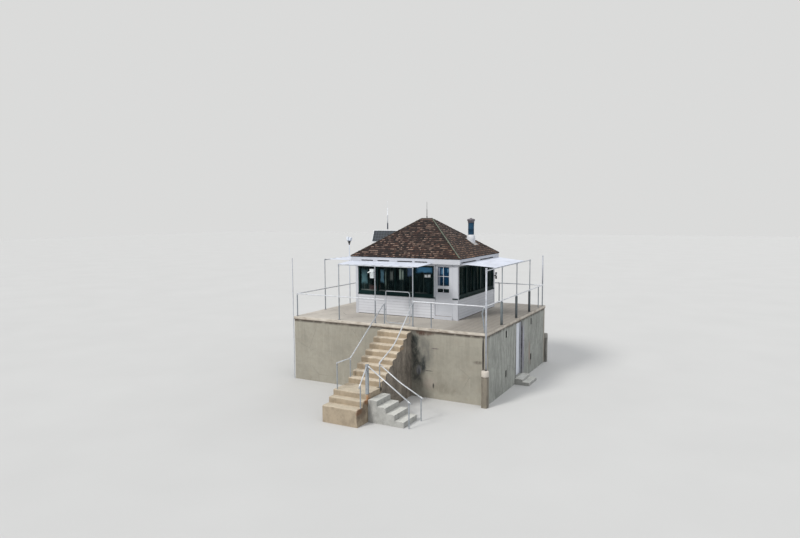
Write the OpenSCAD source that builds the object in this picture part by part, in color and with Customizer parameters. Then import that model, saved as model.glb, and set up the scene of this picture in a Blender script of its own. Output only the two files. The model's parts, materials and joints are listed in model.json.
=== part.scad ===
// Fire lookout: a one-room wooden cabin on a hollow poured-concrete base, with outside stairs,
// pipe rails and canvas awnings on pipe poles. Millimetres, +Z up, origin at the middle of the
// base's underside. Most places are given on the deck: X to the right along the stair side,
// Y to the back, Z up from the deck's top, with zero at the deck's front left corner.

/* [Base] */
// Width of the base along the stair side
base_w = 9440; // [8600:10:10400]
// Depth of the base
base_d = 8420; // [7800:10:9400]
// Height of the deck above the lowest ground
base_h = 2940; // [2700:10:3300]
// Thickness of the base's walls
wall_t = 200; // [150:5:260]
// Thickness of the base's floor, level with the door's threshold
floor_t = 280; // [200:5:320]
// Thickness of the deck slab
slab_t = 150; // [110:5:190]
// How far the slab's edge stands out from the walls
slab_proud = 30; // [10:5:60]
// Side of the piers at the right corners
pier_s = 220; // [180:5:300]
// Height of the piers with their round caps
pier_h = 1480; // [1200:10:1700]

/* [Base door and vents] */
// Width of the doorway in the base
base_door_w = 890; // [800:5:1000]
// Height of the wall left over the doorway
lintel_h = 70; // [50:5:300]
// How far the base's door leaf is set back from the wall's face
base_door_set = 115; // [80:5:125]
// Width of a vent slot
slot_w = 100; // [60:5:160]
// Height of an upper vent slot
slot_h = 280; // [200:10:340]
// Distance from the base's middle line to each vent slot
slot_off = 1830; // [1500:10:2300]
// Distance from the slab down to an upper slot
slot_drop = 160; // [120:5:240]
// Height of a lower slot's top above the floor
slot_low = 630; // [500:5:800]
// Depth of the upper of the two door steps outside the base's door
stoop_d = 660; // [500:10:800]
// Depth of the lower door step
stoop_low_d = 340; // [280:5:420]
// How far the door steps run past the doorway on each side
stoop_side = 150; // [100:5:250]

/* [Cabin] */
// Width of the cabin along the stair side
cabin_w = 5280; // [4800:10:5600]
// Depth of the cabin
cabin_d = 4720; // [4300:10:5000]
// Walkway between the deck's left edge and the cabin
cabin_x = 2010; // [1800:10:2300]
// Walkway between the deck's front edge and the cabin
cabin_y = 2165; // [2000:10:2400]
// Thickness of the cabin's walls
cabin_t = 120; // [90:5:150]
// Height of the cabin's floor above the deck
cabin_floor = 150; // [100:5:200]
// Height of the window sill above the deck
sill_z = 975; // [860:5:1040]
// Height of the window head above the deck
head_z = 2380; // [2200:10:2420]
// Height of the ceiling above the deck
ceiling_z = 2480; // [2460:10:2600]
// How far a wall's face lies behind the corner posts' faces
wall_set = 20; // [12:1:30]

/* [Cabin door] */
// Width of the door's frame from edge to edge
door_w = 905; // [850:5:960]
// Distance from the cabin's right front corner to the door's frame
door_off = 258; // [200:2:320]
// Width of a door frame's board
jamb_w = 45; // [35:1:60]
// Thickness of the door's leaf
leaf_t = 44; // [35:1:50]
// Width of the door leaf's stiles
stile_w = 105; // [85:5:125]
// Height of the door's glazing above the deck
glaze_z = 1190; // [1050:5:1300]
// Height of the low row of panes
low_pane_h = 205; // [150:5:260]
// Height of the bar over the low row
glaze_rail = 95; // [60:5:120]
// Width of a glazing bar
pane_bar = 24; // [18:1:32]

/* [Windows] */
// Number of window bays on the stair side
front_bays = 4; // [3:1:6]
// Number of window bays on each other side
side_bays = 5; // [4:1:7]
// Width of a window frame's upright and top bars
frame_bar = 78; // [50:2:100]
// Height of a window frame's bottom bar
frame_low = 122; // [90:2:150]
// Width of every other window mullion
mullion_w = 84; // [60:2:110]
// Width of the mullions between those
thin_mullion = 34; // [24:2:50]
// Depth of a window frame
frame_d = 70; // [50:5:85]
// Thickness of a window's glass
glass_t = 6; // [4:1:10]
// Height of the sill board
sill_h = 48; // [34:2:64]
// How far the sill board stands out from the wall posts
sill_out = 55; // [30:5:80]

/* [Roof] */
// Slope of the roof in degrees
roof_pitch = 34.5; // [25:0.5:42]
// Overhang of the eave past the cabin
eave_out = 175; // [100:5:300]
// Height of the roof's lower edge above the deck
eave_z = 2750; // [2720:1:2860]
// Thickness of the roof boards with their shingles
roof_t = 35; // [28:1:55]
// Width of a hip cap
cap_w = 130; // [90:10:220]
// Thickness of a hip cap
cap_t = 16; // [10:1:25]
// Thickness of the eave's white boards
fascia_t = 25; // [15:1:30]
// Height of the slots under the eave's upper board
eave_slot = 45; // [30:5:70]
// Height of the eave's lower board
eave_low = 50; // [40:5:80]

/* [Flue] */
// Outside diameter of the flue pipe
flue_d = 290; // [200:10:340]
// Height of the flue's top above the deck
flue_top = 4250; // [4000:10:4600]
// Distance from the roof's right edge to the flue's middle
flue_in = 911; // [700:1:1300]
// Distance from the cabin's middle line to the flue, to the back
flue_y = 990; // [700:5:1300]

/* [Rails] */
// Height of the deck rail's middle line
rail_z = 1045; // [950:5:1150]
// Diameter of the rail pipe
rail_d = 48; // [38:1:60]
// Diameter of the rail posts
post_d = 54; // [42:1:66]
// Distance from the deck's edge to the rail's middle line
rail_in = 100; // [80:5:200]
// Diameter of the awning poles
pole_d = 44; // [34:1:50]
// Height of the awning pipes' middle line
awning_z = 2475; // [2440:5:2500]
// Thickness of an awning's space
canvas_t = 12; // [8:1:20]
// Height of the corner mast's top above the deck
corner_mast_h = 2700; // [2400:10:3000]
// Height of the sensor post above the deck
sensor_h = 3280; // [3150:10:3400]
// Height of the antenna mast above the deck
mast_h = 3900; // [3600:10:4200]
// Height of the antenna above its mast
antenna_h = 1490; // [1200:10:1700]
// Width of the solar panel
panel_w = 1640; // [1400:10:1800]
// Length of the solar panel up its slope
panel_h = 680; // [560:10:800]
// Lean of the solar panel in degrees
panel_lean = 22; // [10:1:35]

/* [Stairs] */
// Height of one step
riser = 210; // [180:5:220]
// Depth of one tread of the main flight
going = 322; // [280:2:340]
// Depth of the top tread, which tucks under the deck's edge
top_going = 460; // [400:5:500]
// Number of treads above the landing
treads = 8; // [7:1:9]
// Left edge of the main flight, along the deck's front
stair_x = 4720; // [4600:10:4740]
// Width of the main flight
stair_w = 1520; // [1300:10:1600]
// Depth of the landing
landing_d = 1046; // [1000:2:1200]
// Depth of one tread of the side flight
side_going = 370; // [300:5:390]
// Width of the side flight
side_w = 1046; // [900:2:1046]
// Height of a stair rail's end above the landing or the ground
stair_rail_h = 950; // [850:10:1050]
// Side of the newel post on the landing
newel_s = 100; // [80:5:130]
// Height of the newel post
newel_h = 1105; // [1040:5:1200]
// Depth of the first step down in front of the landing
walk_first = 300; // [250:5:360]
// Depth of the second
walk_second = 430; // [300:10:600]

/* [Gate] */
// Gap between the gate and the thin post beside it
gate_gap = 40; // [25:1:60]
// Height of the gate's bottom pipe above the deck
gate_low = 75; // [50:5:130]
// Height of the gate's top pipe above the deck
gate_top = 1440; // [1250:10:1550]
// Diameter of the gate's pipe
gate_d = 34; // [27:1:42]
// Bend radius of the gate's corners
gate_r = 110; // [80:5:160]
// Bend radius of its upper left corner
gate_r_left = 50; // [40:5:110]

/* [Hidden] */

// Fineness of round parts
$fn = 32;
// Hairline joint between pieces that are cast or fitted side by side
joint = 0.3;
// Working clearance around a moving piece
clear = 6;
// Length by which a cutting shape runs past what it cuts
over = 20;

// Pipe fittings: sleeves of the deck rail and of the awning pipes, their length, balls at bends
fit_d = 66;
awning_fit_d = 60;
fit_len = 62;
ball_d = rail_d + 14;
// Foot plate of a rail post, and the lighter posts of the stairs
foot_d = 120;
foot_h = 8;
stair_post_d = post_d - 8;

// Gate's pivots, the lugs under them, and the latch's length past the gate's pipe
pivot_d = 30;
pivot_h = 60;
lug_h = 26;
latch_past = 20;

// Door hinges: knuckle, its distance from the leaf's face, and the plate
knuckle_d = 11;
knuckle_h = 50;
knuckle_off = 6;
plate_w = 32;
// Distance from a door leaf's end to its hinge, and door knobs
hinge_in = 180;
knob_d = 56;
knob_out = 50;
knob_in = 60;
knob_h = 970;

// Places on the deck
deck_frame = [-base_w / 2, -base_d / 2, base_h];
ground_z = -base_h;
slab_low = -slab_t;
right_x = base_w - rail_in;
back_y = base_d - rail_in;
cabin_x1 = cabin_x + cabin_w;
cabin_y1 = cabin_y + cabin_d;
mid_x = cabin_x + cabin_w / 2;
mid_y = cabin_y + cabin_d / 2;

// Base doorway, in the middle of the right wall
bdoor_y0 = (base_d - base_door_w) / 2;
bdoor_y1 = (base_d + base_door_w) / 2;
bdoor_z0 = ground_z + floor_t;
bdoor_z1 = slab_low - lintel_h;
// Frame of the base's door: its boards' width, and the leaf's thickness and edges
bframe_w = 45;
bleaf_t = 45;
bleaf_x1 = base_w - base_door_set;
bleaf_y0 = bdoor_y0 + bframe_w + clear;
bleaf_y1 = bdoor_y1 - bframe_w - clear;
bleaf_z0 = bdoor_z0 + clear;
bleaf_z1 = bdoor_z1 - bframe_w - clear;
bhinge = [bleaf_x1 - bleaf_t - knuckle_off, bleaf_y1 + clear / 2];
bhinge_z = [bleaf_z0 + hinge_in, (bleaf_z0 + bleaf_z1) / 2, bleaf_z1 - hinge_in - 2 * knuckle_h];

// Cabin's walls: a corner post is as deep as the wall and its set-back
post_s = wall_set + cabin_t;
in_x0 = cabin_x + post_s;
in_x1 = cabin_x1 - post_s;
in_y0 = cabin_y + post_s;
in_y1 = cabin_y1 - post_s;

// Cabin doorway and its leaf
leaf_set = 35;
door_x1 = cabin_x1 - door_off;
door_x0 = door_x1 - door_w;
door_top = ceiling_z - joint;
leaf_x0 = door_x0 + jamb_w + clear;
leaf_x1 = door_x1 - jamb_w - clear;
leaf_y0 = cabin_y + leaf_set;
leaf_y1 = leaf_y0 + leaf_t;
leaf_z0 = cabin_floor + clear;
leaf_z1 = door_top - jamb_w - clear;
pane_x0 = leaf_x0 + stile_w;
pane_x1 = leaf_x1 - stile_w;
pane_mid = (pane_x0 + pane_x1) / 2;
// Height of the leaf's head rail, and set-back of the glazing bars from the leaf's faces
head_rail_h = 60;
bar_set = 4;
pane_z1 = leaf_z1 - head_rail_h;
rail_low_z = glaze_z + low_pane_h;
rail_high_z = rail_low_z + glaze_rail;
// Lock rail, bottom rail and the panel's set-back between them
lock_h = 190;
kick_h = 230;
panel_in = 12;
door_hinge = [leaf_x1 + clear / 2, leaf_y1 + knuckle_off];
hinge_zs = [leaf_z0 + hinge_in, (leaf_z0 + leaf_z1) / 2, leaf_z1 - hinge_in - 2 * knuckle_h];

// Eave and roof
eave_x0 = cabin_x - eave_out;
eave_x1 = cabin_x1 + eave_out;
eave_y0 = cabin_y - eave_out;
eave_y1 = cabin_y1 + eave_out;
roof_w = eave_x1 - eave_x0;
roof_dp = eave_y1 - eave_y0;
roof_rise = roof_dp / 2 * tan(roof_pitch);
roof_v = roof_t / cos(roof_pitch);
// Set-back of the white eave boards behind the roof's edge
fascia_in = 20;
fascia_z1 = eave_z - roof_v + fascia_in * tan(roof_pitch) - joint;
soffit_t = 25;

// Rail posts and awning poles along the deck's edges, left to right and front to back
pole_pitch_right = 1995;
// Distances of the two posts at the stair head from the stairs' edges, and of the box's pole from the
// left one of them
head_in_left = 35;
head_in_right = 110;
box_pole_off = 455;
thin_post_x = stair_x + head_in_left;
gate_post_x = stair_x + stair_w - head_in_right;
front_posts = [(thin_post_x + rail_in) / 2, thin_post_x - box_pole_off];
// Distances of the thin uprights from the gate's post, and from the back right corner's post
thin_off_front = 850;
thin_off_back = 740;
front_thin_x = gate_post_x + thin_off_front;
right_posts = [for (i = [1 : 3]) rail_in + i * pole_pitch_right];
right_thin_y = back_y - thin_off_back;
// Distances of the left side's posts from the cabin's front and back
left_post_in = [175, 1325];
left_posts = [cabin_y + left_post_in[0], cabin_y1 - left_post_in[1]];
back_posts = [for (i = [1 : 3]) rail_in + i * (right_x - rail_in) / 4];
// The bent corner post: its foot, its belly and its top, which is also the rail's corner
bow_foot = 14;
bow_belly = [130, 760];
bow_top = 45;
corner_x = right_x - bow_top;
// Distance of the sensor post behind the deck's middle
sensor_off = 460;
sensor_y = base_d / 2 + sensor_off;

// Nosing of tread k of the main flight, and the landing's place
function nose_y(k) = -top_going - (k - 1) * going;
landing_back = nose_y(treads);
landing_front = landing_back - landing_d;
landing_z = -(treads + 1) * riser;
side_steps = round((base_h + landing_z) / riser) - 1;
stair_x1 = stair_x + stair_w;

// Ends and bends of the stair rails
far_in = 26;
side_rail_l = 1675;
far_bend_x = 796;
far_bend_z = 290;
near_lift = 120;
walk_in = 130;
walk_drop = 60;
// Drops of the main flight's rails below the deck's rail at the stair head
left_drop = 150;
right_drop = 65;
// Bends and ends of the left rail: the bend behind the landing's edge, the end's distances in and its lift
bend_back = 94;
left_end_in = [130, 75];
left_end_lift = 55;
// Right rail: how far its bend stands out of the stairs, before the fifth nosing, and above the
// landing's rail
right_bend_out = [40, 67, 510];
right_end_in = 85;
// Drops of the far side rail's start and end
far_drop = 60;
far_low_drop = 80;
landing_rail_z = landing_z + stair_rail_h;
rail_past = 100;
newel = [stair_x1 - newel_s / 2, landing_front + newel_s / 2];
far_y = landing_front + side_w - far_in;
side_end_x = stair_x1 + side_rail_l;
rail_lift = 20;
side_low = ground_z + stair_rail_h + rail_lift;
walk_end_y = landing_front - walk_first - walk_in;
left_start = [thin_post_x, rail_in, rail_z - left_drop];
left_bend = [thin_post_x, landing_back + bend_back, landing_rail_z];
left_end = [stair_x + left_end_in[0], landing_front + left_end_in[1], landing_rail_z + left_end_lift];
right_start = [gate_post_x, rail_in, rail_z - right_drop];
right_bend = [stair_x1 + right_bend_out[0], nose_y(5) - right_bend_out[1],
              landing_rail_z + right_bend_out[2]];
right_end = [stair_x1 - right_end_in, far_y, landing_rail_z];
near_from = [newel[0], newel[1], landing_rail_z + near_lift];
near_to = [side_end_x, newel[1], side_low];
far_from = [right_end[0], far_y, landing_rail_z - far_drop];
far_bend = [stair_x1 + far_bend_x, far_y, landing_z + far_bend_z];
far_to = [side_end_x, far_y, side_low - far_low_drop];
walk_from = near_from;
walk_to = [newel[0], walk_end_y, landing_z - 2 * riser + stair_rail_h - walk_drop];

// Piers at the right corners, and the gaps between the deck's edge and the poles that stand beside it
pier_top = ground_z + pier_h;
cap_proud = 25;
pier_cap_d = pier_s + 2 * cap_proud;
pier_cap_h = 240;
pole_gap = 20;
mast_gap = 17;
corner_pole = [base_w, -slab_proud - pole_d / 2 - pole_gap];
mast_x = -slab_proud - stair_post_d / 2 - mast_gap;

// Antenna mast, behind the left walkway's awning: its distances from the cabin's left side and back
mast_off = [350, 965];
mast = [cabin_x - mast_off[0], cabin_y1 - mast_off[1]];
mast_d = 48;
panel_drop = 60;
panel_top = mast_h - panel_drop;
panel_t = 36;
antenna_base_h = 340;
antenna_tip_h = 390;
antenna_tip_d = 16;
// Head of the sensor post, box on the front awning's pole, lightning rod
head_d = 330;
head_h = 190;
head_cap_h = 80;
head_box = [100, 100, 200];
box_size = [330, 180, 420];
rod_parts = [[60, 60], [30, 340], [14, 370]];
// Lantern under the eave: its arm, shade and base
lamp_out = 100;
lamp_arm_h = 40;
lamp_low = [90, 140];
lamp_high = [70, 110];

module at_deck() { translate(deck_frame) children(); }

// Box between two corners
module block(a, b) { translate(a) cube(b - a); }

// Straight pipe between two points
module pipe(a, b, d) {
    v = b - a;
    len = norm(v);
    translate(a) rotate([0, acos(v[2] / len), atan2(v[1], v[0])]) cylinder(h = len, d = d);
}

// Upright pipe at p between two heights
module upright(p, z0, z1, d) { translate([p[0], p[1], z0]) cylinder(h = z1 - z0, d = d); }

// Length in plan from a to b, and the fall for each unit of it
function run(a, b) = norm([b[0] - a[0], b[1] - a[1]]);
function fall(a, b) = (a[2] - b[2]) / run(a, b);
// Point further on past b on the line from a
function beyond(a, b, more) = b + (b - a) * more / run(a, b);
// Point on the line from a to b where a pipe of diameter d clears an upright of diameter up at a
function off_post(a, b, up, d) =
    a + (b - a) * (up / 2 + joint + d / 2 * abs(a[2] - b[2]) / norm(b - a)) / run(a, b);
// Point on the line from a to b that clears a ball at a
function off_ball(a, b) = a + (b - a) * (ball_d / 2 + joint) / norm(b - a);
// Height of the underside of a pipe of diameter d, which falls from a to b, over the edge of an upright
// of diameter up at a
function underside(a, b, up, d) = a[2] - fall(a, b) * up / 2 - d / 2 * sqrt(1 + fall(a, b) * fall(a, b));
// Point on the line from a to b where a pipe of diameter d clears the level plane through a
function off_level(a, b, d) = a + (b - a) * (d / 2 * run(a, b) / norm(b - a) + joint) / abs(b[2] - a[2]);

module ball(p) { translate(p) sphere(d = ball_d); }

// Pipe with a ball at each end's centre left clear
module between_balls(a, b, d) { pipe(off_ball(a, b), off_ball(b, a), d); }

// Upright under the rail from a to b, which passes over it at the height zc
module post_under(p, z0, zc, a, b) {
    f = fall(a, b);
    upright(p, z0, zc - rail_d / 2 * sqrt(1 + f * f) - stair_post_d / 2 * abs(f) - joint, stair_post_d);
}

// Half of a loose-pin hinge on the line at p: a knuckle from z up, and a plate along dir
module hinge_half(p, z, dir, out) {
    upright(p, z, z + knuckle_h, knuckle_d);
    a = p + dir * (knuckle_d / 2 + joint);
    b = p + dir * plate_w + out * (knuckle_off - joint);
    block([min(a[0], b[0]), min(a[1], b[1]), z], [max(a[0], b[0]), max(a[1], b[1]), z + knuckle_h]);
}

// Concrete base
module base_floor() color("gray") at_deck() {
    block([wall_t, wall_t, ground_z], [base_w - wall_t, base_d - wall_t, bdoor_z0]);
    block([base_w - wall_t + joint, bdoor_y0 + joint, ground_z], [base_w, bdoor_y1 - joint, bdoor_z0]);
}

module base_front_wall() color("tan") at_deck()
    block([0, 0, ground_z], [base_w, wall_t, slab_low]);

module base_back_wall() color("tan") at_deck()
    block([0, base_d - wall_t, ground_z], [base_w, base_d, slab_low]);

module base_left_wall() color("tan") at_deck()
    block([0, wall_t, ground_z], [wall_t, base_d - wall_t, slab_low]);

// Two vent slots, one above the other, through the right wall at y
module vent_slots(y) {
    for (z = [slab_low - slot_drop, bdoor_z0 + slot_low])
        block([base_w - wall_t - over, y - slot_w / 2, z - slot_h], [base_w + over, y + slot_w / 2, z]);
}

module base_right_wall_near() color("darkgray") at_deck() difference() {
    block([base_w - wall_t, wall_t, ground_z], [base_w, bdoor_y0, slab_low]);
    vent_slots(base_d / 2 - slot_off);
}

module base_right_wall_far() color("darkgray") at_deck() difference() {
    block([base_w - wall_t, bdoor_y1, ground_z], [base_w, base_d - wall_t, slab_low]);
    vent_slots(base_d / 2 + slot_off);
}

module base_door_lintel() color("darkgray") at_deck()
    block([base_w - wall_t, bdoor_y0, bdoor_z1], [base_w, bdoor_y1, slab_low]);

// Frame boards in the base's doorway: two jambs and a head
module base_door_frame() color("white") at_deck() {
    x0 = bleaf_x1 - bleaf_t;
    x1 = bleaf_x1 + bframe_w;
    top = bdoor_z1 - bframe_w;
    block([x0, bdoor_y0, bdoor_z0], [x1, bdoor_y0 + bframe_w, top - joint]);
    block([x0, bdoor_y1 - bframe_w, bdoor_z0], [x1, bdoor_y1, top - joint]);
    block([x0, bdoor_y0, top], [x1, bdoor_y1, bdoor_z1]);
    for (z = bhinge_z) hinge_half(bhinge, z, [0, 1], [1, 0]);
}

module base_door() color("whitesmoke") at_deck() {
    block([bleaf_x1 - bleaf_t, bleaf_y0, bleaf_z0], [bleaf_x1, bleaf_y1, bleaf_z1]);
    for (z = bhinge_z) hinge_half(bhinge, z + knuckle_h + joint, [0, -1], [1, 0]);
    y = bleaf_y0 + knob_in;
    z = bdoor_z0 + knob_h;
    pipe([bleaf_x1 + joint, y, z], [bleaf_x1 + knob_out, y, z], knob_d);
    pipe([bleaf_x1 - bleaf_t - knob_out, y, z], [bleaf_x1 - bleaf_t - joint, y, z], knob_d);
}

// Two concrete steps outside the base's door
module door_steps() color("gray") at_deck() {
    y0 = bdoor_y0 - stoop_side;
    y1 = bdoor_y1 + stoop_side;
    x = base_w + stoop_d;
    block([base_w, y0, ground_z], [x, y1, bdoor_z0 - over]);
    block([x + joint, y0, ground_z], [x + stoop_low_d, y1, ground_z + floor_t / 2]);
}

module deck_slab() color("wheat") at_deck()
    block([-slab_proud, -slab_proud, slab_low], [base_w + slab_proud, base_d + slab_proud, 0]);

// One pier with its round cap, centred at p
module pier(p) {
    z = pier_top - pier_cap_h;
    half = pier_s / 2;
    block([p[0] - half, p[1] - half, ground_z], [p[0] + half, p[1] + half, z - joint]);
    upright(p, z, pier_top - joint, pier_cap_d);
}

module corner_pier() color("gray") at_deck() {
    off = pier_cap_d / 2 + joint;
    pier([base_w, -off]);
    pier([base_w, base_d + off]);
}

// Main flight: solid concrete steps from the deck down to the landing
module main_flight() color("tan") at_deck()
    for (k = [1 : treads]) {
        back = k == 1 ? 0 : nose_y(k - 1);
        block([stair_x, nose_y(k) + joint, ground_z], [stair_x1, back, -k * riser]);
    }

// Landing, and two steps down to the path on its front
module landing() color("tan") at_deck() {
    block([stair_x, landing_front, ground_z], [stair_x1, landing_back, landing_z]);
    y1 = landing_front - joint;
    y2 = y1 - walk_first;
    block([stair_x, y2, ground_z], [stair_x1, y1, landing_z - riser]);
    block([stair_x, y2 - walk_second, ground_z], [stair_x1, y2 - joint, landing_z - 2 * riser]);
}

// Side flight: steps from the landing down to the ground along the front wall
module side_flight() color("lightsteelblue") at_deck()
    for (k = [1 : side_steps])
        block([stair_x1 + (k - 1) * side_going + joint, landing_front, ground_z],
              [stair_x1 + k * side_going, landing_front + side_w, landing_z - k * riser]);

module stair_posts() color("silver") at_deck() {
    h = newel_s / 2;
    block([newel[0] - h, newel[1] - h, landing_z], [newel[0] + h, newel[1] + h, landing_z + newel_h]);
    for (p = [[left_bend, landing_z + riser], [left_end, landing_z], [right_end, landing_z]])
        upright(p[0], p[1], p[0][2] - ball_d / 2 - joint, stair_post_d);
    post_under(near_to, ground_z, near_to[2], near_from, near_to);
    post_under(far_to, ground_z, far_to[2], far_bend, far_to);
    post_under(walk_to, landing_z - 2 * riser, walk_to[2], walk_from, walk_to);
}

module main_stair_rails() color("silver") at_deck() {
    for (p = [left_start, left_bend, left_end, right_bend, right_end]) ball(p);
    between_balls(left_start, left_bend, rail_d);
    between_balls(left_bend, left_end, rail_d);
    pipe(off_post(right_start, right_bend, post_d, rail_d), off_ball(right_bend, right_start), rail_d);
    between_balls(right_bend, right_end, rail_d);
}

module side_stair_rails() color("silver") at_deck() {
    pipe(off_post(near_from, near_to, newel_s, rail_d), beyond(near_from, near_to, rail_past), rail_d);
    pipe(off_post(walk_from, walk_to, newel_s, rail_d), beyond(walk_from, walk_to, rail_past), rail_d);
    ball(far_bend);
    pipe(off_post(far_from, far_bend, stair_post_d, rail_d), off_ball(far_bend, far_from), rail_d);
    pipe(off_ball(far_bend, far_to), beyond(far_bend, far_to, rail_past), rail_d);
}

// Heights where sleeves on the deck rail start and end
socket_top = rail_z + fit_len + joint;
socket_low = rail_z - fit_len - joint;

// Rail post on its foot plate
module rail_post(p) {
    upright(p, 0, foot_h, foot_d);
    upright(p, foot_h + joint, socket_low, post_d);
}

// Lighter upright that ends under the rail
module under_rail(p, top) { upright(p, 0, top - rail_d / 2 - joint, pole_d); }

module rail_posts() color("silver") at_deck() {
    for (x = concat([rail_in], front_posts, [gate_post_x])) rail_post([x, rail_in]);
    for (y = right_posts) {
        rail_post([right_x, y]);
        under_rail([right_x, y - foot_d / 2 - pole_d / 2 - joint], rail_z);
    }
    for (x = concat([rail_in], back_posts, [right_x])) rail_post([x, back_y]);
    for (y = left_posts) rail_post([rail_in, y]);
    under_rail([front_thin_x, rail_in], rail_z);
    under_rail([right_x, right_thin_y], rail_z);
    thin_top = min(left_start[2] - ball_d / 2, underside(left_start, left_bend, stair_post_d, rail_d));
    upright(left_start, 0, thin_top - joint, stair_post_d);
    // bent corner post
    foot = [right_x - bow_foot, rail_in, foot_h];
    belly = [right_x - bow_belly[0], rail_in, bow_belly[1]];
    top = [corner_x, rail_in, socket_low];
    upright(foot, 0, foot_h, foot_d);
    pipe(off_level(foot, belly, post_d), off_ball(belly, foot), post_d);
    ball(belly);
    pipe(off_ball(belly, top), off_level(top, belly, post_d), post_d);
    // lugs that carry the gate's knuckles, and the latch over the gate's left pipe
    half = pivot_d / 2;
    for (z = hinge_z)
        block([hinge[0] - half, rail_in - half, z - pivot_h / 2 - lug_h],
              [gate_post_x - post_d / 2 - joint, rail_in + half, z - pivot_h / 2 - joint]);
    y = rail_in - stair_post_d / 2 - joint;
    block([thin_post_x - half, y - foot_h, latch_z], [gate_x0 + gate_d + latch_past, y, latch_z + lug_h]);
}

// How far the deck rail runs past the thin post's middle, and the back corner's pole above the awnings' pipe
rail_end_past = 5;
pole_past = 75;

// Straight rail along dir from p, with a stop at each listed distance, where an upright sleeve stands
module rail(p, dir, stops, d, sleeve) {
    off = sleeve / 2 + joint;
    for (i = [0 : 1 : len(stops) - 2])
        pipe(p + dir * (stops[i] + off), p + dir * (stops[i + 1] - off), d);
}

// Sleeve of the deck rail at p, open upwards where a pole goes on
module rail_sleeve(p, pole) {
    upright(p, rail_z - fit_len, pole ? rail_z + fit_len : rail_z + fit_d / 2, fit_d);
}

module deck_rails() color("silver") at_deck() {
    east = [1, 0, 0];
    north = [0, 1, 0];
    off = fit_d / 2 + joint;
    rail([0, rail_in, rail_z], east, concat([rail_in], front_posts), rail_d, fit_d);
    pipe([front_posts[1] + off, rail_in, rail_z], [thin_post_x + rail_end_past, rail_in, rail_z], rail_d);
    rail([0, rail_in, rail_z], east, [gate_post_x, corner_x], rail_d, fit_d);
    rail([right_x, 0, rail_z], north, concat([rail_in], right_posts, [back_y]), rail_d, fit_d);
    rail([0, back_y, rail_z], east, concat([rail_in], back_posts, [right_x]), rail_d, fit_d);
    rail([rail_in, 0, rail_z], north, concat([rail_in], left_posts, [back_y]), rail_d, fit_d);
    for (p = [[rail_in, rail_in], [corner_x, rail_in], [rail_in, back_y]]) rail_sleeve(p, false);
    for (x = back_posts) rail_sleeve([x, back_y], false);
    for (x = concat(front_posts, [gate_post_x])) rail_sleeve([x, rail_in], true);
    for (y = concat(right_posts, [back_y])) rail_sleeve([right_x, y], true);
    for (y = left_posts) rail_sleeve([rail_in, y], true);
}

pole_top = awning_z - fit_len - joint;

module awning_poles() color("silver") at_deck() {
    for (x = concat(front_posts, [gate_post_x])) upright([x, rail_in], socket_top, pole_top, pole_d);
    for (y = right_posts) upright([right_x, y], socket_top, pole_top, pole_d);
    for (y = left_posts) upright([rail_in, y], socket_top, pole_top, pole_d);
    upright([right_x, back_y], socket_top, awning_z + pole_past, pole_d);
    upright(corner_pole, pier_top, pole_top, pole_d);
}

module awning_sleeve(p) { upright(p, awning_z - fit_len, awning_z + awning_fit_d / 2, awning_fit_d); }

module awning_pipes() color("silver") at_deck() {
    at_front = concat(front_posts, [gate_post_x]);
    rail([0, rail_in, awning_z], [1, 0, 0], at_front, pole_d, awning_fit_d);
    rail([right_x, 0, awning_z], [0, 1, 0], right_posts, pole_d, awning_fit_d);
    rail([rail_in, 0, awning_z], [0, 1, 0], left_posts, pole_d, awning_fit_d);
    for (x = at_front) awning_sleeve([x, rail_in]);
    for (y = right_posts) awning_sleeve([right_x, y]);
    for (y = left_posts) awning_sleeve([rail_in, y]);
    // from the corner pole back to the first pole on the right
    awning_sleeve(corner_pole);
    a = [corner_pole[0], corner_pole[1], awning_z];
    b = [right_x, right_posts[0], awning_z];
    pipe(off_post(a, b, awning_fit_d, pole_d), off_post(b, a, awning_fit_d, pole_d), pole_d);
}

// Flat closed space of an awning between the eave board and the pipes
awning_low = awning_z + awning_fit_d / 2 + joint;
module awning(pts) { translate([0, 0, awning_low]) linear_extrude(canvas_t) polygon(pts); }

eave_face = fascia_in - joint;
pipe_out = rail_in - pole_d / 2;
// How far the front canvas reaches past its last pole, where the right one is tied to its pipe behind the
// corner pole, and how far in from the corner pole that is
front_past = 295;
tie_y = 950;
tie_in = 25;
// Distances of the canvases' inner corners from the roof's corners, and of the left one from the mast
canvas_in_front = 60;
canvas_in_near = 80;
canvas_in_far = 120;
canvas_off_mast = 150;

module front_awning() color("white") at_deck()
    awning([[eave_x0 + canvas_in_front, eave_y0 + eave_face], [front_posts[0], pipe_out],
            [gate_post_x + front_past, pipe_out], [door_x0, eave_y0 + eave_face]]);

module right_awning() color("white") at_deck() {
    x = eave_x1 - eave_face;
    awning([[x, eave_y0 + canvas_in_near], [corner_pole[0] - tie_in, tie_y],
            [right_x + pole_d / 2, right_posts[1] + pole_pitch_right / 2], [x, eave_y1 - canvas_in_far]]);
}

module left_awning() color("white") at_deck() {
    x = eave_x0 + eave_face;
    awning([[pipe_out, left_posts[0]], [x, eave_y0 + canvas_in_near],
            [x, mast[1] - canvas_off_mast], [pipe_out, left_posts[1]]]);
}

module corner_mast() color("silver") at_deck() {
    upright([mast_x, 0], ground_z, corner_mast_h, stair_post_d);
    half = stair_post_d / 2;
    block([mast_x + half + joint, -half, 0.8 * slab_low], [-slab_proud - joint, half, 0.3 * slab_low]);
}

module sensor_post() color("silver") at_deck() {
    p = [rail_in - post_d - clear, sensor_y];
    z = sensor_h + joint;
    upright(p, 0, sensor_h, stair_post_d);
    upright(p, z, z + head_h, head_d);
    translate([p[0], p[1], z + head_h + joint]) cylinder(h = head_cap_h, d1 = head_d, d2 = 0.8 * head_d);
    x = p[0] - stair_post_d / 2 - joint;
    block([x - head_box[0], p[1] - head_box[1] / 2, sensor_h - head_box[2]],
          [x, p[1] + head_box[1] / 2, sensor_h]);
}

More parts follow.
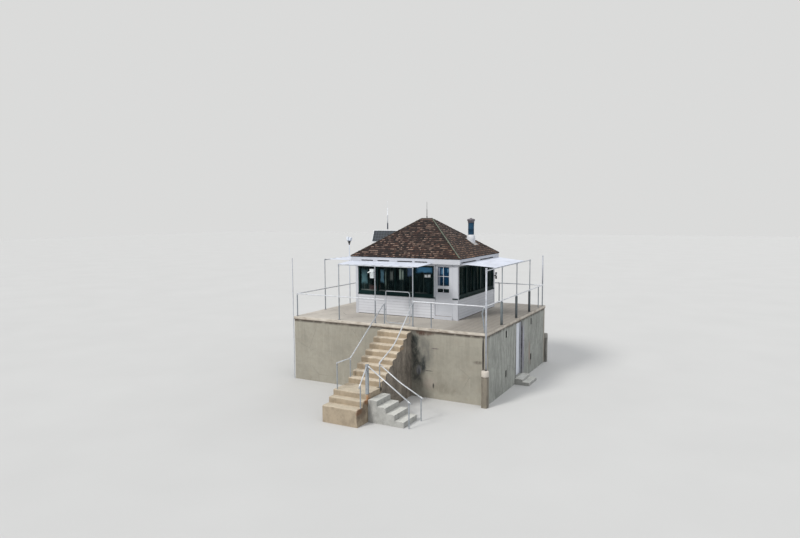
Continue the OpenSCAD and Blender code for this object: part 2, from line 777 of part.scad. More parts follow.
module weather_box() color("whitesmoke") at_deck() {
    x = front_posts[1] - pole_d / 2 - joint;
    z = pole_top - fit_len;
    half = box_size[1] / 2;
    block([x - box_size[0], rail_in - half, z - box_size[2]], [x, rail_in + half, z]);
}

// Cabin
module cabin_floor() color("burlywood") at_deck() {
    block([in_x0, in_y0, 0], [in_x1, in_y1, cabin_floor]);
    block([door_x0 + jamb_w + joint, cabin_y, 0], [door_x1 - jamb_w - joint, in_y0 - joint, cabin_floor]);
}

sill_low = sill_z - sill_h;

module cabin_front_wall() color("white") at_deck() {
    y = cabin_y + wall_set;
    block([in_x0, y, 0], [door_x0, in_y0, sill_low]);
    block([door_x1, y, 0], [in_x1, in_y0, door_top]);
}

module cabin_right_wall() color("white") at_deck()
    block([in_x1, in_y0, 0], [cabin_x1 - wall_set, in_y1, sill_low]);

module cabin_left_wall() color("white") at_deck()
    block([cabin_x + wall_set, in_y0, 0], [in_x0, in_y1, sill_low]);

module cabin_back_wall() color("white") at_deck()
    block([in_x0, in_y1, 0], [in_x1, cabin_y1 - wall_set, sill_low]);

// Corner posts and the beams over the windows
module cabin_frame() color("white") at_deck() {
    z1 = ceiling_z - joint;
    for (x = [cabin_x, in_x1], y = [cabin_y, in_y1]) block([x, y, 0], [x + post_s, y + post_s, z1]);
    block([in_x0 + joint, cabin_y, head_z], [door_x0 - joint, in_y0, z1]);
    block([in_x0 + joint, in_y1, head_z], [in_x1 - joint, cabin_y1, z1]);
    block([cabin_x, in_y0 + joint, head_z], [in_x0, in_y1 - joint, z1]);
    block([in_x1, in_y0 + joint, head_z], [cabin_x1, in_y1 - joint, z1]);
}

// One window band along X from x = 0 to w, outside face at y = 0, with its sill board below
module window_band(w, bays, horn) {
    z0 = sill_z;
    z1 = head_z - frame_bar;
    pitch = (w - 2 * frame_bar) / bays;
    for (x = [0, w - frame_bar]) block([x, 0, z0], [x + frame_bar, frame_d, head_z - joint]);
    block([frame_bar + joint, 0, z1], [w - frame_bar - joint, frame_d, head_z - joint]);
    block([frame_bar + joint, 0, z0], [w - frame_bar - joint, frame_d, z0 + frame_low]);
    for (i = [1 : 1 : bays - 1]) {
        half = (i % 2 == 1 ? mullion_w : thin_mullion) / 2;
        x = frame_bar + i * pitch;
        block([x - half, 0, z0 + frame_low + joint], [x + half, frame_d, z1 - joint]);
    }
    block([0, -wall_set, sill_low], [w, cabin_t, z0 - joint]);
    block([0, -sill_out, sill_low], [w + horn, -wall_set - joint, z0 - joint]);
}

module glass_sheet(w) {
    in = frame_bar / 2;
    block([in, frame_d + joint, sill_z + in], [w - in, frame_d + joint + glass_t, head_z - in]);
}

// Places the four window bands' children: front, right, back, left
module front_band() { translate([in_x0 + joint, cabin_y + wall_set, 0]) children(); }
module right_band() { translate([cabin_x1 - wall_set, in_y0 + joint, 0]) rotate(90) children(); }
module back_band() { translate([in_x1 - joint, cabin_y1 - wall_set, 0]) rotate(180) children(); }
module left_band() { translate([cabin_x + wall_set, in_y1 - joint, 0]) rotate(-90) children(); }
front_band_w = door_x0 - in_x0 - 2 * joint;
side_band_w = in_y1 - in_y0 - 2 * joint;
back_band_w = in_x1 - in_x0 - 2 * joint;
// Length of the front sill's end that runs past the door frame's edge
sill_horn = 70;

module window_frames() color("darkgreen") at_deck() {
    front_band() window_band(front_band_w, front_bays, sill_horn);
    right_band() window_band(side_band_w, side_bays, 0);
    back_band() window_band(back_band_w, side_bays, 0);
    left_band() window_band(side_band_w, side_bays, 0);
    // short sill board right of the door
    y = cabin_y + wall_set - sill_out;
    block([door_x1 + clear, y, sill_low], [cabin_x1, cabin_y - joint, sill_z - joint]);
}

module window_glass() color("lightblue") at_deck() {
    front_band() glass_sheet(front_band_w);
    right_band() glass_sheet(side_band_w);
    back_band() glass_sheet(back_band_w);
    left_band() glass_sheet(side_band_w);
}

module cabin_door_frame() color("white") at_deck() {
    top = door_top - jamb_w;
    block([door_x0, cabin_y, 0], [door_x0 + jamb_w, leaf_y1, top - joint]);
    block([door_x1 - jamb_w, cabin_y, 0], [door_x1, leaf_y1, top - joint]);
    block([door_x0, cabin_y, top], [door_x1, leaf_y1, door_top]);
    for (z = hinge_zs) hinge_half(door_hinge, z, [1, 0], [0, -1]);
}

// Board of the door's leaf between two heights, between the stiles
module leaf_rail(z0, z1) {
    block([pane_x0 + joint, leaf_y0, z0], [pane_x1 - joint, leaf_y1, z1]);
}

// Glazing bar, outside and inside the glass
module glazing_bar(x0, z0, x1, z1) {
    mid = (leaf_y0 + leaf_y1) / 2;
    half = glass_t / 2 + joint;
    block([x0, leaf_y0 + bar_set, z0], [x1, mid - half, z1]);
    block([x0, mid + half, z0], [x1, leaf_y1 - bar_set, z1]);
}

// Door leaf: stiles and rails, a panel set back below, glazing bars above
module cabin_door() color("white") at_deck() {
    lock_z = glaze_z - lock_h;
    z_mid = (rail_high_z + pane_z1) / 2;
    b = pane_bar / 2;
    block([leaf_x0, leaf_y0, leaf_z0], [pane_x0, leaf_y1, leaf_z1]);
    block([pane_x1, leaf_y0, leaf_z0], [leaf_x1, leaf_y1, leaf_z1]);
    leaf_rail(leaf_z0, leaf_z0 + kick_h);
    leaf_rail(lock_z, glaze_z);
    leaf_rail(rail_low_z, rail_high_z);
    leaf_rail(pane_z1, leaf_z1);
    block([pane_x0 + joint, leaf_y0 + panel_in, leaf_z0 + kick_h + joint],
          [pane_x1 - joint, leaf_y1 - panel_in, lock_z - joint]);
    glazing_bar(pane_mid - b, glaze_z + joint, pane_mid + b, rail_low_z - joint);
    glazing_bar(pane_mid - b, rail_high_z + joint, pane_mid + b, pane_z1 - joint);
    glazing_bar(pane_x0 + joint, z_mid - b, pane_mid - b - joint, z_mid + b);
    glazing_bar(pane_mid + b + joint, z_mid - b, pane_x1 - joint, z_mid + b);
    for (z = hinge_zs) hinge_half(door_hinge, z + knuckle_h + joint, [-1, 0], [0, -1]);
    z = cabin_floor + knob_h;
    x = leaf_x0 + knob_in;
    pipe([x, leaf_y0 - joint, z], [x, leaf_y0 - knob_out, z], knob_d);
    pipe([x, leaf_y1 + joint, z], [x, leaf_y1 + knob_out, z], knob_d);
}

module cabin_door_glass() color("lightblue") at_deck() {
    mid = (leaf_y0 + leaf_y1) / 2;
    half = glass_t / 2;
    for (z = [[glaze_z, rail_low_z], [rail_high_z, pane_z1]])
        block([pane_x0 + joint, mid - half, z[0] + joint], [pane_x1 - joint, mid + half, z[1] - joint]);
}

// Places of the slots under the eave's upper board, from the cabin's corner, on the long and short sides
slots_long = [[430, 1060], [1290, 1930], [2350, 3110], [3240, 3860]];
slots_short = [[-25, 1745], [2296, 4025]];

// Boards of one eave along X from 0 to w, outside face at y = 0: a lower board, blocks between
// the slots, and an upper board
module eave_side(w, slots) {
    z1 = ceiling_z + eave_low;
    z2 = z1 + eave_slot;
    block([0, 0, ceiling_z], [w, fascia_t, z1 - joint]);
    block([0, 0, z2], [w, fascia_t, fascia_z1]);
    marks = concat([0], [for (s = slots, e = s) e + eave_out - fascia_in], [w]);
    for (i = [0 : 2 : len(marks) - 2])
        block([marks[i], 0, z1], [marks[i + 1], fascia_t, z2 - joint]);
}

// Ceiling, which runs out as the eave's underside, and the white eave boards
module eaves() color("white") at_deck() {
    x0 = eave_x0 + fascia_in;
    x1 = eave_x1 - fascia_in;
    y0 = eave_y0 + fascia_in;
    y1 = eave_y1 - fascia_in;
    t = fascia_t + joint;
    block([x0 + t, y0 + t, ceiling_z], [x1 - t, y1 - t, ceiling_z + soffit_t]);
    translate([x0, y0, 0]) eave_side(x1 - x0, slots_long);
    translate([x1, y1, 0]) rotate(180) eave_side(x1 - x0, []);
    translate([x1, y0 + t, 0]) rotate(90) eave_side(y1 - y0 - 2 * t, slots_short);
    translate([x0, y1 - t, 0]) rotate(-90) eave_side(y1 - y0 - 2 * t, slots_short);
}

// Outline in plan of the roof's slope over the front, and over the left
function slope_long() = [[joint, 0], [roof_w - joint, 0], [roof_w - roof_dp / 2 - joint, roof_dp / 2 - joint],
                         [roof_dp / 2 + joint, roof_dp / 2 - joint]];
function slope_short() = [[joint, 0], [roof_dp - joint, 0], [roof_dp / 2, roof_dp / 2 - joint]];

// Sloping slab over the plan outline, rising towards +Y from the eave
module roof_slope(plan, w) {
    intersection() {
        linear_extrude(roof_rise + roof_v) polygon(plan);
        rotate([roof_pitch, 0, 0]) translate([0, -roof_dp, 0]) cube([w, 3 * roof_dp, roof_t]);
    }
}

module roof() color("saddlebrown") at_deck() translate([0, 0, eave_z - roof_v]) {
    translate([eave_x0, eave_y0, 0]) roof_slope(slope_long(), roof_w);
    translate([eave_x1, eave_y1, 0]) rotate(180) roof_slope(slope_long(), roof_w);
    translate([eave_x1, eave_y0, 0]) rotate(90) roof_slope(slope_short(), roof_dp);
    translate([eave_x0, eave_y1, 0]) rotate(-90) roof_slope(slope_short(), roof_dp);
}

// Distances in plan from the eave to a hip cap's lower end, and from its upper end to the ridge's end
hip_start = 20;
hip_end = 130;
ridge_past = 90;

// Cap board over a hip, as two thin slopes that meet on the hip's line
module hip_cap() {
    end = roof_dp / 2 - hip_end;
    half = cap_w / 2;
    s = hip_start;
    intersection() {
        union() {
            rotate([roof_pitch, 0, 0]) translate([0, -roof_dp, joint]) cube([roof_w, 3 * roof_dp, cap_t]);
            rotate([0, -roof_pitch, 0]) translate([-roof_dp, 0, joint]) cube([3 * roof_dp, roof_w, cap_t]);
        }
        linear_extrude(roof_rise + 2 * roof_t)
            polygon([[s, s], [s + half, s], [end + half, end], [end, end], [end, end + half], [s, s + half]]);
    }
}

ridge_z = eave_z + roof_rise;
ridge_l = roof_w - roof_dp;
ridge_top = ridge_z + (joint + cap_t) / cos(roof_pitch);

// Cap along the ridge, between the hips' ends
module ridge_cap() {
    half = cap_w / 2;
    drop = half * tan(roof_pitch);
    v = cap_t / cos(roof_pitch);
    translate([mid_x - ridge_l / 2 - ridge_past, mid_y, ridge_z + joint / cos(roof_pitch)])
        rotate([90, 0, 90]) linear_extrude(ridge_l + 2 * ridge_past)
            polygon([[-half, -drop], [0, 0], [half, -drop], [half, v - drop], [0, v], [-half, v - drop]]);
}

module hip_caps() color("darkseagreen") at_deck() {
    ridge_cap();
    for (p = [[eave_x0, eave_y0, 0], [eave_x1, eave_y1, 180], [eave_x1, eave_y0, 90],
              [eave_x0, eave_y1, -90]])
        translate([p[0], p[1], eave_z]) rotate(p[2]) hip_cap();
}

// Flue on the roof's right slope, and the slope's height there
flue = [eave_x1 - flue_in, mid_y + flue_y];
flue_foot = eave_z + flue_in * tan(roof_pitch);
// Its collar's ledge, height and plate, and its cap
collar_proud = 60;
collar_d = flue_d + 2 * collar_proud;
collar_h = 300;
plate_t = 10;
plate_side = 30;
plate_down = 150;
cap_out = 130;
cap_low_h = 150;
cap_high_h = 90;

// Space over the right slope, between two heights square to it
module over_right_slope(low, high) {
    translate([eave_x1, 0, eave_z]) rotate([0, roof_pitch, 0])
        translate([-2 * roof_w, 0, low]) cube([3 * roof_w, base_d, high - low]);
}

module flue() color("darkslategray") at_deck() {
    intersection() {
        upright(flue, eave_z, flue_top, flue_d);
        over_right_slope(joint, roof_w);
    }
    z = flue_top + cap_low_h;
    upright(flue, flue_top + joint, z, flue_d + cap_out);
    translate([flue[0], flue[1], z + joint]) cylinder(h = cap_high_h, d1 = flue_d + cap_out, d2 = flue_d / 5);
}

// Collar round the flue, and the plate that it stands on, which runs down the slope
module flue_flashing() color("whitesmoke") at_deck() {
    side = collar_d / 2 + plate_side;
    difference() {
        intersection() {
            upright(flue, eave_z, flue_foot + collar_h, collar_d);
            over_right_slope(plate_t + 2 * joint, roof_w);
        }
        upright(flue, eave_z, flue_top, flue_d + 2 * joint);
    }
    difference() {
        intersection() {
            block([flue[0] - side, flue[1] - side, eave_z],
                  [flue[0] + side + plate_down, flue[1] + side, flue_top]);
            over_right_slope(joint, plate_t + joint);
        }
        upright(flue, eave_z, flue_top, flue_d + 2 * joint);
    }
}

// Solar panel, leaning back against its mast, with a bracket low down
module solar_panel() color("midnightblue") at_deck() {
    y = mast[1] - mast_d / 2 - joint;
    translate([mast[0], y, panel_top]) rotate([-panel_lean, 0, 0])
        translate([-panel_w / 2, -panel_t, -panel_h]) cube([panel_w, panel_t, panel_h]);
    difference() {
        z = panel_top - 0.8 * panel_h * cos(panel_lean);
        half = mast_d / 3;
        block([mast[0] - half, y - panel_h, z], [mast[0] + half, y, z + panel_t]);
        translate([mast[0], y, panel_top]) rotate([-panel_lean, 0, 0])
            translate([-panel_w / 2, joint - panel_w, -2 * panel_h]) cube([panel_w, panel_w, 3 * panel_h]);
    }
}

module antenna_mast() color("silver") at_deck() {
    base_top = mast_h + antenna_base_h;
    tip = mast_h + antenna_h;
    upright(mast, 0, mast_h, mast_d);
    upright(mast, mast_h + joint, base_top, 1.15 * mast_d);
    upright(mast, base_top + joint, tip - antenna_tip_h, 0.85 * mast_d);
    upright(mast, tip - antenna_tip_h + joint, tip, antenna_tip_d);
    // stand-off arm to the eave board
    z = ceiling_z + eave_low + eave_slot;
    block([mast[0] + mast_d / 2 + joint, mast[1] - fascia_t, z + fascia_t],
          [eave_x0 + eave_face, mast[1] + fascia_t, z + 2 * fascia_t]);
}

module lightning_rod() color("dimgray") at_deck() {
    p = [mid_x, mid_y];
    z1 = ridge_top + rod_parts[0][1];
    z2 = z1 + rod_parts[1][1];
    upright(p, ridge_top + joint, z1, rod_parts[0][0]);
    upright(p, z1 + joint, z2, rod_parts[1][0]);
    upright(p, z2 + joint, z2 + rod_parts[2][1], rod_parts[2][0]);
}

module corner_lantern() color("dimgray") at_deck() {
    p = [cabin_x1 + lamp_out, cabin_y1 - post_s / 2];
    z = (sill_z + head_z) / 2 - lamp_high[1];
    half = lamp_high[0] / 2;
    block([cabin_x1 + joint, p[1] - half, z], [p[0], p[1] + half, z + lamp_arm_h]);
    upright(p, z - lamp_low[1], z - joint, lamp_low[0]);
    upright(p, z + lamp_arm_h + joint, z + lamp_arm_h + lamp_high[1], lamp_high[0]);
}

// Gate: a pipe bent into a rounded loop, hung on two knuckles beside the right gate post
// Distances of its hinge line from the post's middle and from the gate, and drops of its knuckles and latch
hinge_off = 62;
hinge_gap = 66;
hinge_drops = [105, 565];
latch_drop = 420;
hinge = [gate_post_x - hinge_off, rail_in];
gate_x1 = hinge[0] - hinge_gap;
gate_x0 = thin_post_x + stair_post_d / 2 + gate_gap;
hinge_z = [for (d = hinge_drops) rail_z - d];
latch_z = rail_z - latch_drop;

module gate() color("silver") at_deck() {
    x0 = gate_x0 + gate_d / 2;
    x1 = gate_x1 - gate_d / 2;
    z0 = gate_low;
    z1 = gate_top - gate_d / 2;
    r = gate_r;
    rl = gate_r_left;
    y = rail_in;
    pipe([x0 + rl, y, z1], [x1 - r, y, z1], gate_d);
    pipe([x0 + r, y, z0], [x1 - r, y, z0], gate_d);
    pipe([x0, y, z0 + r], [x0, y, z1 - rl], gate_d);
    pipe([x1, y, z0 + r], [x1, y, z1 - r], gate_d);
    for (c = [[x1 - r, z1 - r, 0, r], [x0 + rl, z1 - rl, 90, rl], [x0 + r, z0 + r, 180, r],
              [x1 - r, z0 + r, 270, r]])
        translate([c[0], y, c[1]]) rotate([90, -c[2], 0])
            rotate_extrude(angle = 90) translate([c[3], 0]) circle(d = gate_d);
    for (z = hinge_z) {
        pipe([x1, y, z], [hinge[0], y, z], 0.7 * gate_d);
        upright(hinge, z - pivot_h / 2, z + pivot_h / 2, pivot_d);
    }
}

base_floor();
base_front_wall();
base_back_wall();
base_left_wall();
base_right_wall_near();
base_right_wall_far();
base_door_lintel();
base_door_frame();
base_door();
door_steps();
deck_slab();
corner_pier();
main_flight();
landing();
side_flight();
stair_posts();
main_stair_rails();
side_stair_rails();
rail_posts();
deck_rails();
gate();
awning_poles();
awning_pipes();
front_awning();
right_awning();
left_awning();
corner_mast();
sensor_post();
weather_box();
cabin_floor();
cabin_front_wall();
cabin_right_wall();
cabin_back_wall();
cabin_left_wall();
cabin_frame();
window_frames();
window_glass();
cabin_door_frame();
cabin_door();
cabin_door_glass();
eaves();
roof();
hip_caps();
flue();
flue_flashing();
solar_panel();
antenna_mast();
lightning_rod();
corner_lantern();
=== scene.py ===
"""A fire lookout: a one-room wooden cabin on a hollow poured-concrete base, with outside stairs,
pipe rails, a pipe gate and canvas awnings on pipe poles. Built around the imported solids, in metres.
Most places are given on the deck: X to the right along the stair side, Y to the back, Z up from
the deck's top, with zero at the deck's front left corner. Colours are three numbers from 0 to 255."""

import json
import math

import bmesh
import bpy
import numpy as np
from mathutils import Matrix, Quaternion, Vector


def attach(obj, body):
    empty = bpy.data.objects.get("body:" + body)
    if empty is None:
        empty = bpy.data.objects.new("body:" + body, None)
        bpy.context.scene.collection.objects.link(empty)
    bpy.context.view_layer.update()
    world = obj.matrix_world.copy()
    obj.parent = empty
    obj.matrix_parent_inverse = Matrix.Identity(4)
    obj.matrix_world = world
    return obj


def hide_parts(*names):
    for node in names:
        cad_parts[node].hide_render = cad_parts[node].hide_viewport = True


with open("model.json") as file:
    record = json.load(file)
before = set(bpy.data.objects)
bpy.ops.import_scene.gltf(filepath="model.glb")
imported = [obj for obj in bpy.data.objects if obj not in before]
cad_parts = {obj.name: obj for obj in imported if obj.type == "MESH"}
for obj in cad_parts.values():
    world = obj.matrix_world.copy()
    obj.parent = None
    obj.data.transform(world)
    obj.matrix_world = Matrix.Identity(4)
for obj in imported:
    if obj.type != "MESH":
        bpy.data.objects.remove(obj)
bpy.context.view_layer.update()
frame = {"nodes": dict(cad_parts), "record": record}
nodes = frame["nodes"]
rng = np.random.default_rng(41)

# Sizes that repeat the solids' own, in metres
DECK = np.array([4.720, 4.210, -2.940])
BASE_W, BASE_D, GROUND = 9.440, 8.420, -2.940
SLAB_PROUD, SLAB_T = 0.030, 0.150
CAB_X0, CAB_X1, CAB_Y0, CAB_Y1 = 2.010, 7.290, 2.165, 6.885
WIDE, DEEP = CAB_X1 - CAB_X0, CAB_Y1 - CAB_Y0
POST, WALL_SET = 0.140, 0.020
DOOR_X0, DOOR_X1 = 6.127, 7.032
SILL_LOW, SILL_TOP, HEAD = 0.927, 0.975, 2.380
EAVE_X0, EAVE_X1, EAVE_Y0, EAVE_Y1 = 1.835, 7.465, 1.990, 7.060
EAVE_Z, PITCH, ROOF_T = 2.750, math.radians(34.5), 0.035
FOOT_GAP, LAP_ROWS = 0.028, 7
BOARD_H = (SILL_LOW - FOOT_GAP) / LAP_ROWS
RAIL_IN, RIGHT_X, BACK_Y = 0.100, 9.340, 8.320
FRONT_POSTS, RIGHT_POSTS = (2.4275, 4.300, 6.130), (2.095, 4.090, 6.085)
BACK_POSTS, LEFT_POSTS = (0.100, 2.410, 4.720, 7.030), (2.340, 5.560)
CORNER, PIER_TOP = (9.440, -0.072), -1.705
STAIR_X, STAIR_W, RAIL_R = 4.720, 1.520, 0.024
# Heights in the shared frame, for finishes: the base walls' tops, and one lift of their form boards
WALL_TOP, LIFT = 2.79, 0.42
# Spacing of the points along worn edges
EDGE_PITCH = 0.045
# Sockets of a node that mixes colours
FACTOR, FIRST, SECOND, MIXED = 0, 6, 7, 2


def on_deck(points):
    """Deck places as places in the shared frame: each point minus the deck corner's offset."""
    return np.asarray(points, float) - DECK


def linear(colour):
    """A colour as linear numbers with alpha 1: one number is a linear grey, three are 0 to 255 as they
    show on a screen, and four stay as they are."""
    if not hasattr(colour, "__len__"):
        return (colour, colour, colour, 1.0)
    if len(colour) == 4:
        return colour
    c = np.array(colour) / 255.0
    c = np.where(c <= 0.04045, c / 12.92, ((c + 0.055) / 1.055) ** 2.4)
    return (*[float(v) for v in c], 1.0)


def scaled(colour, k):
    """A colour k times as bright."""
    return (*[min(1.0, c * k) for c in linear(colour)[:3]], 1.0)


class Finish:
    """A procedural material on Object coordinates, laid up in layers over its first colour. Most methods
    add one node and give its output."""

    def __init__(self, name, roughness=0.7, metallic=0.0, shine=0.5):
        self.mat = bpy.data.materials.new(name)
        self.mat.use_nodes = True
        self.tree = self.mat.node_tree
        self.tree.nodes.clear()
        out = self.tree.nodes.new("ShaderNodeOutputMaterial")
        self.bsdf = self.tree.nodes.new("ShaderNodeBsdfPrincipled")
        self.tree.links.new(self.bsdf.outputs[0], out.inputs[0])
        for key, value in (("Roughness", roughness), ("Metallic", metallic), ("Specular IOR Level", shine)):
            self.bsdf.inputs[key].default_value = value
        self.place = self.node("TexCoord").outputs["Object"]
        self.colour, self.height, self.shared = None, None, {}

    def node(self, kind, inputs=None, **props):
        n = self.tree.nodes.new("ShaderNode" + kind)
        for key, value in props.items():
            setattr(n, key, value)
        for key, value in (inputs or {}).items():
            self.put(n.inputs[key], value)
        return n

    def put(self, socket, value):
        if isinstance(value, bpy.types.NodeSocket):
            self.tree.links.new(value, socket)
        else:
            socket.default_value = linear(value) if socket.type == "RGBA" else value

    def at(self, scale, move=(0, 0, 0), source=None):
        inputs = {"Vector": source or self.place, "Scale": scale, "Location": move}
        return self.node("Mapping", inputs).outputs[0]

    def noise(self, scale, detail=4.0, rough=0.55, stretch=None, move=(0, 0, 0), at=None, warp=0.0):
        vector = self.at(stretch, move) if stretch else at or self.place
        return self.node("TexNoise", {"Vector": vector, "Scale": scale, "Detail": detail, "Roughness": rough,
                                      "Distortion": warp}).outputs["Fac"]

    def cells(self, scale, at=None, feature="F1", output="Distance", spread=1.0):
        n = self.node("TexVoronoi", {"Vector": at or self.place, "Scale": scale, "Randomness": spread},
                      feature=feature)
        return n.outputs[output]

    def waves(self, scale, at, warp, direction="X", detail=2.0):
        n = self.node("TexWave", {"Vector": at, "Scale": scale, "Distortion": warp, "Detail": detail},
                      bands_direction=direction)
        return n.outputs["Fac"]

    def ramp(self, fac, stops):
        n = self.node("ValToRGB", {"Fac": fac})
        elements = n.color_ramp.elements
        while len(elements) < len(stops):
            elements.new(0.5)
        for element, (pos, colour) in zip(elements, stops):
            element.position = pos
            element.color = linear(colour)
        return n.outputs["Color"]

    def tones(self, fac, base, *stops):
        """A ramp whose stops are places with how bright the base colour is there."""
        return self.ramp(fac, [(pos, scaled(base, k)) for pos, k in stops])

    def past(self, fac, low, high):
        """Zero at low and one at high, whichever is the greater, and level beyond them."""
        return self.ramp(fac, sorted([(low, 0.0), (high, 1.0)]))

    def mix(self, fac, a, b, blend="MIX"):
        inputs = {FACTOR: fac, FIRST: a, SECOND: b}
        return self.node("Mix", inputs, data_type="RGBA", blend_type=blend).outputs[MIXED]

    def layer(self, tint, amount, fac=None, low=0.0, high=1.0):
        """Lays a tint over the colour so far by an amount, and where fac passes from low to high."""
        if fac is not None:
            amount = self.times(self.past(fac, low, high), amount)
        self.colour = self.mix(amount, self.colour, tint)

    def shade(self, tint, amount=1.0):
        """Multiplies the colour so far by a tint, by an amount."""
        self.colour = self.mix(amount, self.colour, tint, "MULTIPLY")

    def math(self, op, a, b=0.0):
        return self.node("Math", {0: a, 1: b}, operation=op).outputs[0]

    def times(self, a, b):
        return self.math("MULTIPLY", a, b)

    def within(self, value, pitch):
        """How far a value has come in its own pitch, 0 to 1."""
        return self.math("FRACT", self.math("DIVIDE", value, pitch))

    def span(self, value, low, high, out_low=0.0, out_high=1.0):
        return self.node("MapRange", {"Value": value, "From Min": low, "From Max": high,
                                      "To Min": out_low, "To Max": out_high}).outputs[0]

    def split(self, vector):
        return self.node("SeparateXYZ", {0: vector}).outputs

    def axis(self, i):
        return self.split(self.place)[i]

    def facing(self):
        return self.split(self.node("NewGeometry").outputs["Normal"])

    def spot(self, centre, size, edge, ragged, fine=3.0, square=False):
        """A soft oval mark round a deck place: one inside, fading to zero over the outer part edge of its
        size, its outline made ragged by noise; a square one is a rectangle on an upright wall."""
        scale = [1.0 / s for s in size]
        vector = self.at(scale, [-c * k for c, k in zip(on_deck(centre), scale)])
        if square:
            x, y, z = self.split(self.node("VectorMath", {0: vector}, operation="ABSOLUTE").outputs[0])
            far = self.math("MAXIMUM", self.math("MAXIMUM", x, y), z)
        else:
            far = self.node("VectorMath", {0: vector}, operation="LENGTH").outputs["Value"]
        if fine not in self.shared:
            self.shared[fine] = self.math("SUBTRACT", self.noise(fine, 5.0, 0.65), 0.5)
        return self.span(self.math("ADD", far, self.times(self.shared[fine], ragged * 3)), 1.0, 1.0 - edge)

    def stains_and_shade(self, marks, veins=None):
        """Lays on each mark of stain or of painted shade: its deck place, size, tint, strength, raggedness and
        whether it is square.
        """
        for place, size, tint, strength, ragged, *square in marks:
            amount = self.times(self.spot(place, size, 0.6, ragged, square=bool(square)), strength)
            self.layer(tint, amount if veins is None else self.times(amount, veins))

    def sand(self, scale, amount, dark=0.74):
        """Fine sand grain, dark down to the given tone. Gives the grain."""
        grain = self.noise(scale, 2.0, 0.6)
        self.shade(self.ramp(grain, [(0.32, dark), (0.56, 1.0)]), amount)
        return grain

    def cracks(self, base, scale, move, wide, patches, low, high, amount):
        """Thin dark cracks along the cells' edges, only in patches."""
        edge = self.cells(scale, self.at((1, 1, 1), move), "DISTANCE_TO_EDGE")
        thin = self.times(self.span(edge, wide, 0.002), self.past(self.noise(patches, 2.0), low, high))
        self.layer(scaled(base, 0.35), self.times(thin, amount))

    def bump(self, height, strength=0.3, distance=0.01):
        inputs = {"Height": height, "Strength": strength, "Distance": distance}
        if self.height is not None:
            inputs["Normal"] = self.height
        self.height = self.node("Bump", inputs).outputs[0]

    def rough(self, coarse, a, grain, b, strength, distance):
        self.bump(self.math("ADD", self.times(coarse, a), self.times(grain, b)), strength, distance)

    def done(self, roughness=None):
        self.put(self.bsdf.inputs["Base Color"], self.colour)
        if roughness is not None:
            self.put(self.bsdf.inputs["Roughness"], roughness)
        if self.height is not None:
            self.put(self.bsdf.inputs["Normal"], self.height)
        return self.mat


def poured_concrete(name, base, streaks=0.5, top=None, boards=0.0, stain=(70, 66, 58), rust=0.0,
                    fine=0.0, contrast=1.0, marks=(), ends=False):
    """Mottled grey with sand grain, faint lift lines of the form boards, and streaks that run down from
    the height top, with a patchy band of painted shade just under it; fine adds close upright streaks, on the
    ends alone if so said, rust orange patches, and marks are spots of stain and of painted shade."""
    f = Finish(name, 0.88)
    tones = (0.30, 1 - 0.20 * contrast), (0.52, 1), (0.74, 1 + 0.14 * contrast)
    f.colour = f.tones(f.noise(0.9, 7.0, 0.62), base, *tones)
    mid = f.noise(5.0, 5.0, 0.6)
    f.shade(f.ramp(mid, [(0.32, 0.80), (0.60, 1.0)]), 0.6 * contrast)
    grain = f.sand(95.0, 0.45)
    z = f.axis(2)
    if boards:
        off = f.math("ABSOLUTE", f.math("SUBTRACT", f.within(z, boards), 0.5))
        line = f.times(f.math("LESS_THAN", off, 0.016), f.past(f.noise(1.7, 3.0), 0.48, 0.62))
        f.layer(scaled(base, 0.5), f.times(line, 0.30))
        f.bump(line, 0.4, 0.004)
        pit = f.times(f.span(f.cells(26.0), 0.10, 0.05), f.past(f.noise(2.4, 2.0), 0.55, 0.66))
        f.layer(scaled(base, 0.4), f.times(pit, 0.5))
        f.bump(pit, -0.6, 0.006)
    if top is not None:
        run = f.past(f.noise(3.4, 6.0, 0.65, (2.6, 2.6, 0.16)), 0.46, 0.70)
        f.layer(stain, f.times(f.times(run, f.math("POWER", f.span(z, top - 2.3, top), 0.7)), streaks))
        f.layer(scaled(base, 1.3), 0.30, f.noise(4.3, 5.0, 0.6, (2.2, 2.2, 0.2), (3, 7, 1)), 0.58, 0.74)
        # Patchy band of painted shade just under the top, where the slab or the pier's cap overhangs
        shade_under_top = f.ramp(f.noise(4.0, 3.0), [(0.3, 0.35), (0.55, 1.0)])
        f.layer((44, 34, 28), f.times(f.times(f.span(z, top - 0.11, top - 0.03), shade_under_top), 0.85))
    if fine:
        if ends:
            fine = f.times(f.span(f.math("ABSOLUTE", f.facing()[0]), 0.5, 0.8), fine)
        for k, stretch, move, warp, low, high in (
                (0.42, (3.2, 3.2, 0.42), (1, 4, 2), 0.4, 0.54, 0.38),
                (1.55, (2.6, 2.6, 0.55), (7, 1, 5), 0.5, 0.50, 0.64)):
            f.layer(scaled(base, k), fine, f.noise(2.0, 5.0, 0.7, stretch, move, warp=warp), low, high)
    if rust:
        f.layer((150, 104, 62), rust, f.noise(1.9, 6.0, 0.7, (1, 1, 1.4), (9, 2, 4)), 0.50, 0.66)
    if marks:
        veins = f.noise(4.5, 6.0, 0.72, (1.5, 1.5, 0.6), (4, 9, 2), warp=0.8)
        f.stains_and_shade(marks, f.ramp(veins, [(0.34, 0.40), (0.54, 1.0)]))
    f.cracks(base, 0.8, (5, 1, 2), 0.006, 0.7, 0.52, 0.6, 0.6)
    f.rough(mid, 0.6, grain, 0.4, 0.45, 0.006)
    return f.done()


